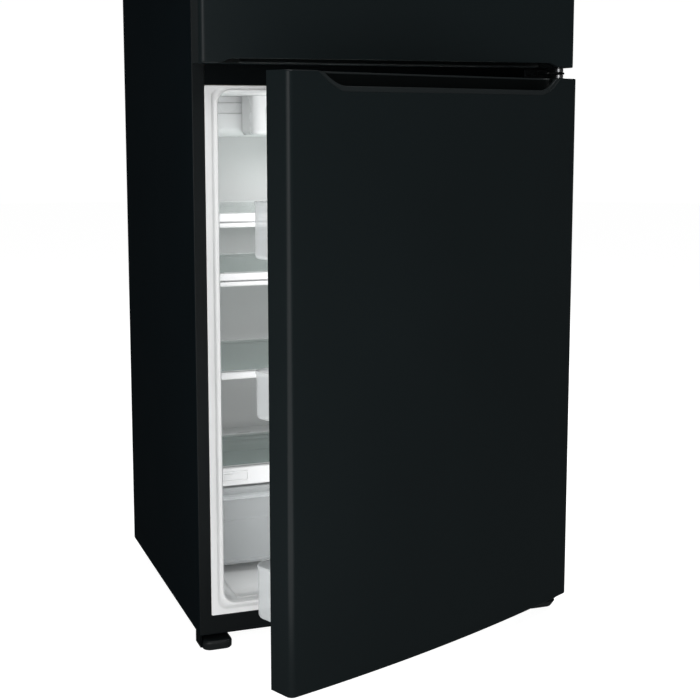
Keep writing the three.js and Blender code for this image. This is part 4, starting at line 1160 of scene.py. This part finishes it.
# -------- stage, light and camera
def stage_material(name, base, glow):
    film = Finish(name, base, 0.6)
    film.mottled(1.5, 0.01).uneven(3.0, 0.03)
    film.shader.inputs["Emission Color"].default_value = (1, 1, 1, 1)
    film.shader.inputs["Emission Strength"].default_value = glow
    return film.material


circle = Shape().loft([[polar(14.0, a, -0.0005) for a in angles(96)]], end_cap=True)
disc = place_mesh("studio_floor", circle.bm, [stage_material("floor_paper", (0.30, 0.30, 0.30), 0.97)])
disc.visible_glossy = False
bpy.ops.mesh.primitive_uv_sphere_add(segments=64, ring_count=32, radius=15.0)
sky = bpy.context.object
sky.name = "studio_backdrop"
sky.data.materials.append(stage_material("backdrop_paper", (0.02, 0.02, 0.02), 1.0))
for ray in ("diffuse", "glossy", "transmission", "shadow", "volume_scatter"):
    setattr(sky, f"visible_{ray}", False)

world = bpy.data.worlds.new("studio")
world.use_nodes = True
background = world.node_tree.nodes["Background"].inputs
background["Color"].default_value = (1, 1, 1, 1)
background["Strength"].default_value = 0.05
bpy.context.scene.world = world


def softbox(name, place, target, size, watts, glossy=True):
    """A rectangular light aimed at `target`; without `glossy` no reflection shows it."""
    light = bpy.data.lights.new(name, "AREA")
    light.shape = "RECTANGLE"
    light.size, light.size_y = size
    light.energy = watts
    box = place_object(name, light)
    box.location = place
    box.rotation_euler = (Vector(target) - Vector(place)).to_track_quat("-Z", "Y").to_euler()
    box.visible_camera = False
    box.visible_glossy = glossy


BODY_MIDDLE = (0.0, -0.2, 0.9)
softbox("key", (-2.6, -3.6, 1.9), BODY_MIDDLE, (1.0, 2.6), 16)
softbox("fill", (0.6, -3.0, 4.6), BODY_MIDDLE, (2.4, 1.6), 65)
softbox("side", (-0.85, -1.15, 0.96), (-0.304, -0.53, 1.37), (1.0, 2.12), 9.0)
softbox("top", (0.0, 0.4, 4.2), (0.0, 0.0, 0.0), (3.0, 3.0), 60)
softbox("rear_right", (2.2, 3.8, 2.4), (0.0, 0.0, 0.8), (2.0, 2.0), 90)
lens_low, lens_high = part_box("light_lens")
lamp = (lens_low + lens_high) / 2
under_lens = (lamp.x, lamp.y, lens_low.z - 0.01)
softbox("cabinet_lamp", under_lens, (lamp.x, lamp.y - 0.1, 0), (0.14, 0.06), 0.6, False)
duct_low, duct_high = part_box("air_duct")
upper = (lamp.x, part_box("shelf_1_frame")[0].y - 0.03, duct_low.z - 0.14)
softbox("ceiling_glow", upper, (duct_low.x / 2, duct_low.y, duct_high.z), (0.4, 0.06), 0.5, False)
for name, node, room, watts in (
    ("fridge_glow", "fridge_liner", FRIDGE_ROOM, 1.4), ("freezer_glow", "freezer_liner", FREEZER_ROOM, 0.25),
):
    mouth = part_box(node)[0].y + 0.025
    bottom, top = room
    middle = (bottom + top) / 2 * MM
    size = (0.60, (top - bottom - 40) * MM)
    softbox(name, (0, mouth, middle), (0, mouth + 1, middle), size, watts, False)

# The camera was solved from the photo's edges.
scene = bpy.context.scene
scene.view_settings.view_transform = "Standard"
camera_data = bpy.data.cameras.new("camera")
camera_data.lens = 68.86
camera_data.sensor_width = 36
camera_data.shift_y = -0.077
camera_data.dof.use_dof = False
camera = place_object("camera", camera_data)
camera.location = (-0.956, -2.577, 1.020)
camera.rotation_euler = (math.radians(90 - 7.58), 0, math.radians(-20.09))
scene.camera = camera
